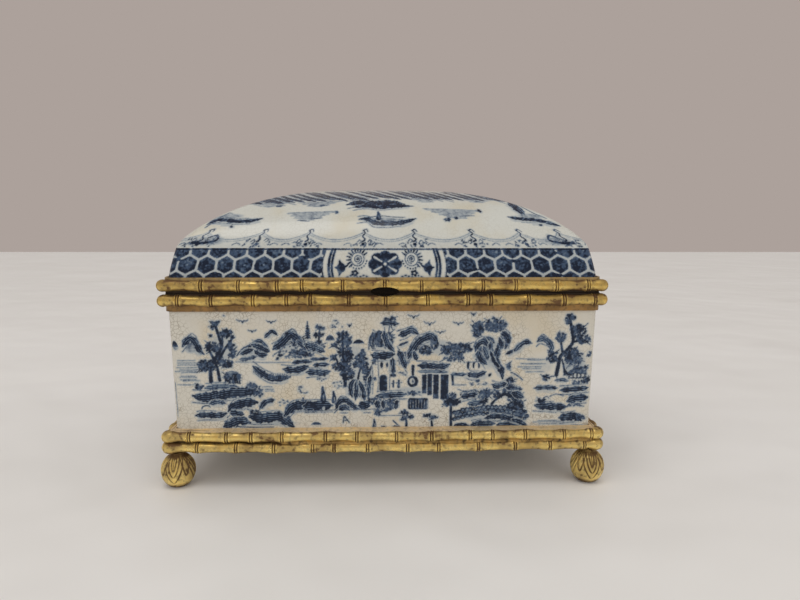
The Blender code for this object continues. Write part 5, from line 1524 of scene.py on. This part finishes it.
def paint_flower_panel(art):
    """The flower panel: white ground inside curved lines, a cross flower, two sun flowers and two leaves."""
    bulge = PANEL_BULGE * np.cos((art.up - CELL_MIDDLE) / 9.5 * math.pi / 2)
    edge = PANEL_HALF + bulge - np.abs(art.across)
    panel = edge > -0.2
    art.ink[panel] = -art.REACH
    art.wash[panel] = 0.0
    ground = np.nonzero(edge > -2)[0]
    art.lay(ground, 0.36 - np.abs(edge[ground] - 0.2), 0.85)
    art.lay(ground, 1.75 - np.abs(edge[ground] - 5.2), 0.8)
    art.bare(ground, np.abs(edge[ground] - 5.3) - 0.22)
    for side in (-1, 1):
        paint_leaf_sprig(art, side)
        paint_sun_flower(art, side)
    paint_cross_flower(art)


def make_skirt():
    """The glaze round the lid's skirt, from under the brass up to the shoulder."""
    places, walked, total = walk(BODY_HALF, CORNER, SKIN_STEP)
    levels = edged(np.linspace(SKIRT_LOW, SHOULDER, SKIRT_ROWS))
    rows, columns = len(levels), len(places)
    points = np.zeros((rows, columns, 3))
    for row, z in enumerate(levels):
        depth = SKIN_DEEP if row in (0, rows - 1) else SKIN_PROUD
        inset = LID_LEAN * ((z - LID_BOTTOM) / LID_SKIRT) ** LEAN_POWER
        x, y = outline_at(places, [half - inset + depth for half in BODY_HALF], CORNER)
        points[row] = np.stack([x, y, np.full(columns, z)], axis=1)
    numbers = grid_numbers(rows, columns)
    faces = round_faces(np.vstack([numbers, numbers[:1]]))
    halves = np.array([half - CORNER for half in BODY_HALF] * 2)
    bend = CORNER * math.pi / 2
    middles = np.cumsum(np.array([0.0, *halves[:3]]) + halves) + bend * np.arange(4)
    aside = np.stack([(walked - middle + total / 2) % total - total / 2 for middle in middles])
    nearest = (np.abs(aside) - halves[:, None]).argmin(0)
    across = np.take_along_axis(aside, nearest[None], axis=0)[0]
    art = Picture(np.tile(across, rows), np.repeat(levels, columns), 5)
    paint_honeycomb(art)
    paint_flower_panel(art)
    art.lay(np.arange(len(art.up)), 0.45 - np.abs(art.up - SHOULDER + 0.7), 0.85)
    mesh_piece("painted_skirt", points.reshape(-1, 3) * MM, faces, LID_GLAZE, "lid", art.marks())


make_skirt()

DOME_RISE = 38.0
DOME_POWER = 3.5
DOME_FULLNESS = 0.76
DOME_ROUNDING = 1.12
BORDER_TOP = 22.0
CROWN_GAP = 1.0
INNER_DEPTH = -1.6
INNER_SHRINK = 0.86
INNER_SMALLEST = 0.12
INNER_POINTS = 70
DOME_SAMPLES = 2000
DOME_SEED = 11


def dome_height(size, rise):
    return rise * (1 - size**DOME_POWER) ** DOME_FULLNESS


def dome_sizes():
    """The dome's rings as shares of its outline, from shoulder to crown, and how far up the front each lies."""
    sizes = np.cos(np.linspace(0, math.pi / 2, DOME_SAMPLES))
    depth = (BODY_HALF[1] - LID_LEAN) * sizes
    steps = np.hypot(np.diff(depth), np.diff(dome_height(sizes, DOME_RISE)))
    return sizes, np.concatenate([[0], np.cumsum(steps)])


SIZES, CLIMBED = dome_sizes()


def dome_ring(places, size, depth):
    """One ring of the dome, this far proud of the porcelain: a rounded rectangle that turns into an ellipse."""
    half_x, half_y = (half - LID_LEAN + depth for half in BODY_HALF)
    x, y = outline_at(places, (half_x, half_y), CORNER)
    angle = np.arctan2(y / half_y, x / half_x)
    roundness = 1 - size**DOME_ROUNDING
    x = x + (half_x * np.cos(angle) - x) * roundness
    y = y + (half_y * np.sin(angle) - y) * roundness
    return np.stack([x * size, y * size, np.full(len(x), SHOULDER + dome_height(size, DOME_RISE + depth))], axis=1)


def stitch(lower, upper):
    """Faces between two rings of point numbers, where the upper ring has as many points or half as many."""
    if len(lower) == len(upper):
        return list(zip(lower, lower[1:] + lower[:1], upper[1:] + upper[:1], upper))
    faces = []
    for index, here in enumerate(upper):
        first, middle = lower[2 * index], lower[2 * index + 1]
        last, there = lower[(2 * index + 2) % len(lower)], upper[(index + 1) % len(upper)]
        faces += [(first, middle, here), (middle, there, here), (middle, last, there)]
    return faces


def stitch_all(rings, inside_out=False):
    faces = [face for lower, upper in zip(rings, rings[1:]) for face in stitch(lower, upper)]
    return [face[::-1] for face in faces] if inside_out else faces


def make_dome_skin(name, climbs, columns, halvings=()):
    """Part of the dome's glaze, closed inside, over the given climbs up its front. The crown is the part whose
    rings halve their points at the given sizes; it closes at the top."""
    places, walked, total = walk(BODY_HALF, CORNER, 4 * sum(BODY_HALF) / columns)
    share = np.arange(columns) * total / columns
    places = np.interp(share, np.append(walked, total), np.append(places, 8.0)) % 8
    sizes = np.interp(climbs, CLIMBED, SIZES)
    rings, points, marks_at = [], [], []

    def add_ring(size, depth, count, climb):
        start = sum(len(ring) for ring in rings)
        rings.append(list(range(start, start + count)))
        step = columns // count
        points.append(dome_ring(places[::step], size, depth))
        marks_at.append(np.stack([share[::step], np.full(count, climb)], axis=1))

    counts = [columns // 2 ** sum(size < limit for limit in halvings) for size in sizes]
    add_ring(sizes[0], SKIN_DEEP, columns, climbs[0])
    for size, count, climb in zip(sizes, counts, climbs):
        add_ring(size, SKIN_PROUD, count, climb)
    if halvings:
        outer, count, size = len(rings), columns, sizes[0]
        while size > INNER_SMALLEST:
            size *= INNER_SHRINK
            count = count // 2 if count % 2 == 0 and count > INNER_POINTS else count
            add_ring(size, INNER_DEPTH, count, climbs[0])
        inward = [rings[0], *rings[outer:]]
        faces = stitch_all(rings[:outer]) + stitch_all(inward, True)
        top = sum(len(ring) for ring in rings)
        for ring, depth, step in ((rings[outer - 1], SKIN_PROUD, 1), (inward[-1], INNER_DEPTH, -1)):
            points.append(np.array([[0, 0, SHOULDER + DOME_RISE + depth]]))
            marks_at.append(np.array([[0, CLIMBED[-1]]]))
            faces += [(here, there, top)[::step] for here, there in zip(ring, ring[1:] + ring[:1])]
            top += 1
    else:
        add_ring(sizes[-1], SKIN_DEEP, columns, climbs[-1])
        faces = stitch_all(rings) + stitch_all([rings[0], rings[-1]], True)
    spots = np.concatenate(points)
    walked, climbed = np.concatenate(marks_at).T
    art = paint_dome(spots, walked, climbed, total)
    mesh_piece(name, spots * MM, faces, LID_GLAZE, "lid", art.marks())


FRONT_FINIALS = (-122, -83.6, -51.6, -14, 19.9, 59.9, 94, 122)
SIDE_FINIALS = (-71, -35.5, 0, 35.5, 71)
SWAG_LOW = 5.4
SWAG_DROP = 5.2
CORNER_SCROLL = 112


def paint_finial(border, x):
    """A scroll that stands up between two swags, with beads and small curls round its foot."""
    curl = border.about(1.0)
    scroll = ((-0.8, 4.2), (1.2, 5.6), (-0.9, 8), (0.9, 10), (-0.8, 12.2))
    border.stroke([(x + out * curl, level) for out, level in scroll], 1.0, 0.95, 0.7)
    border.stroke([(x - 0.6, 12), (x + 1.4, 12.8), (x + 2.6, 11.2)], 0.9, 0.9, 0.5)
    border.dab(x, 2.4, 1.3, 1.0, 0.97)
    for _ in range(20):
        spot, level = x + border.off(8.5), 0.9 + 5 * border.hand.random() ** 1.6
        border.dab(spot, level, border.about(0.75, 0.4), 0.42, border.about(0.75, 0.3), border.off(1.2))
    for side in (-1, 1):
        spot, level = x + side * border.about(4.2, 0.4), border.about(4.4, 0.25)
        knot = ((-1.3, 0), (0, 1.4), (1.3, 0), (0, -0.8))
        border.stroke([(spot + aside, level + above) for aside, above in knot], 0.55, 0.6)
        spot = x + side * border.about(11, 0.3)
        border.stroke([(spot - 2.4, 2.0), (spot, 3.2), (spot + 2.4, 2.2)], 0.5, 0.5, 0.4)


def paint_swags(art, walked, climbed, total):
    """A beaded border along the shoulder, hung in swags between scroll finials."""
    across = (walked - (BODY_HALF[0] - CORNER) + total / 2) % total - total / 2
    side = total / 4
    finials = sorted([*FRONT_FINIALS, *(x + side for x in SIDE_FINIALS), *(x - side for x in SIDE_FINIALS),
                      *((x + total) % total - total / 2 for x in FRONT_FINIALS)])
    hooks = np.array([finials[-1] - total, *finials, finials[0] + total])
    after = np.searchsorted(hooks, across)
    share = (across - hooks[after - 1]) / (hooks[after] - hooks[after - 1])
    inside = SWAG_LOW + SWAG_DROP * (2 * share - 1) ** 2 - climbed
    art.wash = np.where(inside > 0.4, np.maximum(art.wash, 0.2), art.wash)
    everywhere = np.arange(len(across))
    art.bare(everywhere, -inside - 0.6)
    for level, half, tone in ((0.0, 0.14, 0.22), (1.3, 0.06, 0.12)):
        art.lay(everywhere, half - np.abs(inside - level), tone)
    border = Picture(across, climbed, 8, art)
    for x in finials:
        paint_finial(border, x)
    for turned in (-1, 1):
        corner = turned * CORNER_SCROLL
        border.soften(corner + turned * 4, 4.5, 13, 4, 0.8)
        scroll = ((14, 3.4), (6, 3.2), (-1, 5.2), (2, 8.4), (6, 6.6))
        border.stroke([(corner + turned * x, z) for x, z in scroll], 2.0, 0.9, 1.0)


SLOPE_SCENE = (
    ("wash", -100, 27, 24, 7, 0.75), ("band", 2.8, 0.97, -112, 19.5, -106, 24, -96, 22.3, -86.5, 21.8, -78, 23.8),
    ("line", 0.8, 0.6, -108, 23, -104, 27, -100, 31, -97, 29), ("cloud", -99, 20.6, 24, 3.6, 0.6),
    ("wash", -81.5, 20.4, 8.5, 2.4, 0.5), ("leaves", -96.5, 17, 1.5, 1.6, 0.9), ("cloud", -72, 43, 26, 7, 0.85, 0.1),
    ("leaves", -69, 37, 4, 1.2, 0.6), ("cloud", -42, 41, 30, 7, 0.9, 0.05), ("leaves", -40, 36, 4.5, 1.2, 0.6),
    ("cloud", -46, 29, 35, 8.5, 0.85, 0.12), ("leaves", -30.6, 27.6, 2, 2.2, 0.7),
    ("line", 0.8, 0.75, -53, 20.6, -48, 20.0), ("line", 0.6, 0.75, -45, 22, -40, 22.4),
    ("band", 5.2, 0.97, -24, 36, -16, 38.5, -6, 37.5, 4, 38.5, 13, 36),
    ("band", 3.2, 0.97, -20, 32.6, -12, 34, -2, 32.4, 8, 34, 18, 34), ("leaves", 2, 36, 12, 6, 1.0),
    ("leaves", -8, 35, 9, 5, 1.0), ("line", 0.9, 0.9, 12, 35, 19, 34),
    ("band", 3.0, 1.0, -16, 20.6, -11, 21, -6, 17.8, 2, 17.2, 11, 18, 20, 21.4), ("wash", 0, 20.4, 24, 5, 0.8),
    ("cone", -4, 21.5, 4, 6), ("line", 0.7, 0.9, -9, 22.5, -2, 23.6, 6, 22.6, 13, 22.4),
    ("cloud", 43, 32, 40, 9.5, 0.85, -0.1), ("leaves", 62, 31.4, 2.6, 3, 0.95), ("leaves", 41, 21.4, 4, 2.6, 0.95),
    ("leaves", 46.5, 23, 3, 2, 0.85), ("line", 0.6, 0.7, 50, 25, 58, 26), ("cloud", 27, 45, 22, 6, 0.75, 0.0),
    ("cloud", 62, 48, 24, 6, 0.75, 0.0), ("leaves", 62.5, 44, 3.5, 1.2, 0.5), ("wash", 95, 27.5, 22, 8, 0.75),
    ("band", 2.6, 0.97, 80, 26, 88, 24.6, 100, 23.4, 113, 18.5), ("band", 4.6, 0.8, 84, 46, 87, 38, 91, 30),
    ("line", 0.9, 0.95, 84, 48, 86.5, 37, 90, 28), ("line", 0.7, 0.7, 90, 41, 97, 32, 105, 26),
    ("cloud", 99, 21.6, 24, 3.2, 0.5), ("leaves", 100.5, 19, 2, 1.4, 0.8),
)

REED_TOP = 67.0


def paint_dome(spots, walked, climbed, total):
    """The lake over the dome: boats on the slopes, an island on the crown, and the border along the shoulder."""
    climbs = [np.interp(-np.abs(spots[:, axis]), -(half - LID_LEAN) * SIZES, CLIMBED)
              for axis, half in enumerate(BODY_HALF)]
    art = Picture(spots[:, 0] * np.where(spots[:, 1] < 0, 1, -1), climbs[1], DOME_SEED)
    paint_scene(art, SLOPE_SCENE)
    for x in np.arange(-80.0, 96.0, 7.0):
        low = np.interp(x, (-80, -20, 20, 80), (41.5, 41.5, 44.5, 47.5)) + art.off(1.5)
        lean = REED_TOP - low
        paint_band(art, art.about(2.8, 0.15), 0.97, x, low, x - 0.5 * lean, low + 0.35 * lean, x - lean, REED_TOP)
    crown = Picture(spots[:, 0], spots[:, 1], DOME_SEED + 1, art)
    paint_scene(crown, motifs(FRONT_SCENE, -86, 86, 46), 0, 1, -78)
    ends = Picture(spots[:, 1] * np.where(spots[:, 0] > 0, 1, -1), climbs[0], DOME_SEED + 2, art)
    paint_scene(ends, motifs(SLOPE_SCENE, -34, 64, 0, 34), -14)
    paint_swags(art, walked, climbed, total)
    return art


BORDER_CLIMBS = np.linspace(0, BORDER_TOP, 45)
CROWN_CLIMBS = np.linspace(BORDER_TOP, float(CLIMBED[-1]) - CROWN_GAP, 120)
make_dome_skin("painted_dome_border", BORDER_CLIMBS, 1760)
make_dome_skin("painted_dome_crown", CROWN_CLIMBS, 1152, (0.62, 0.3, 0.12))


# Table and light: a white cloth on a table in a warm grey room, lit evenly from the front and by one soft
# lamp on the ceiling. The room is a plain colour all round.

TABLE_HALF = 2.4


def lay_cloth():
    """Smooth white cotton, hardly uneven, over a table much larger than the box."""
    material, shader, tree = new_material("white_cloth")
    where = own_place(tree)
    feed(tree, shader, {
        "Base Color": mingle(tree, speckle(tree, where, 5, 3), (0.76, 0.745, 0.725, 1), (0.83, 0.82, 0.81, 1)),
        "Roughness": 0.45, "Normal": relief(tree, speckle(tree, where, 7, 2), 0.5, 0.02),
    })
    data = bpy.data.meshes.new("table_cloth")
    corners = [(TABLE_HALF * x, TABLE_HALF * y, 0) for x, y in ((-1, -1), (1, -1), (1, 1), (-1, 1))]
    data.from_pydata(corners, [], [(0, 1, 2, 3)])
    data.materials.append(material)
    put_in("table_cloth", data)


lay_cloth()

LAMP_PLACE = Vector((-0.3, -0.5, 1.7))
LAMP_AIM = Vector((0, 0, 0.1))
lamp = bpy.data.lights.new("ceiling_lamp", "AREA")
lamp.size = 0.6
lamp.energy = 3.2
lamp.color = (1.0, 0.975, 0.945)
hung = put_in("ceiling_lamp", lamp)
hung.location = LAMP_PLACE
hung.rotation_euler = (LAMP_AIM - LAMP_PLACE).to_track_quat("-Z", "Y").to_euler()


def light_room():
    """Even light from the whole room, which itself shows as a warm grey wall, also in metal and glaze."""
    world = bpy.data.worlds.new("room")
    bpy.context.scene.world = world
    world.use_nodes = True
    room = world.node_tree
    rays = room.nodes.new("ShaderNodeLightPath").outputs
    seen = calc(room, "MAXIMUM", rays["Is Camera Ray"], rays["Is Glossy Ray"])
    seen = calc(room, "MAXIMUM", seen, rays["Is Transmission Ray"])
    towards = room.nodes.new("ShaderNodeTexCoord").outputs["Generated"]
    towards = add_node(room, "ShaderNodeSeparateXYZ", {0: towards}).outputs
    level = calc(room, "MULTIPLY_ADD", towards["Y"], -0.40, 1.24)
    level = calc(room, "MULTIPLY_ADD", towards["Z"], -0.34, level)
    feed(room, room.nodes["Background"], {
        "Color": mingle(room, seen, (0.80, 0.775, 0.745, 1), (0.413, 0.356, 0.328, 1)),
        "Strength": calc(room, "MULTIPLY_ADD", calc(room, "SUBTRACT", 1.0, level), seen, level),
    })


light_room()
bpy.context.scene.view_settings.view_transform = "Standard"


# Camera: level with the lid, a little to the left of the middle, as the photograph was taken. Its focal length
# is given in that photograph's pixels.

SENSOR_WIDTH = 36.0
FOCAL_PIXELS, PHOTO_PIXELS = 631.7, 800
CAMERA_PLACE = (-0.00335, -0.4838, 0.1737)
YAW, PITCH, ROLL = 0.033, -0.136, 0.002
camera_data = bpy.data.cameras.new("camera")
camera_data.sensor_width = SENSOR_WIDTH
camera_data.lens = SENSOR_WIDTH * FOCAL_PIXELS / PHOTO_PIXELS
camera = put_in("camera", camera_data)
turn = Matrix.Rotation(-YAW, 4, "Z") @ Matrix.Rotation(math.pi / 2 + PITCH, 4, "X") @ Matrix.Rotation(ROLL, 4, "Z")
camera.matrix_world = Matrix.Translation(CAMERA_PLACE) @ turn
bpy.context.scene.camera = camera
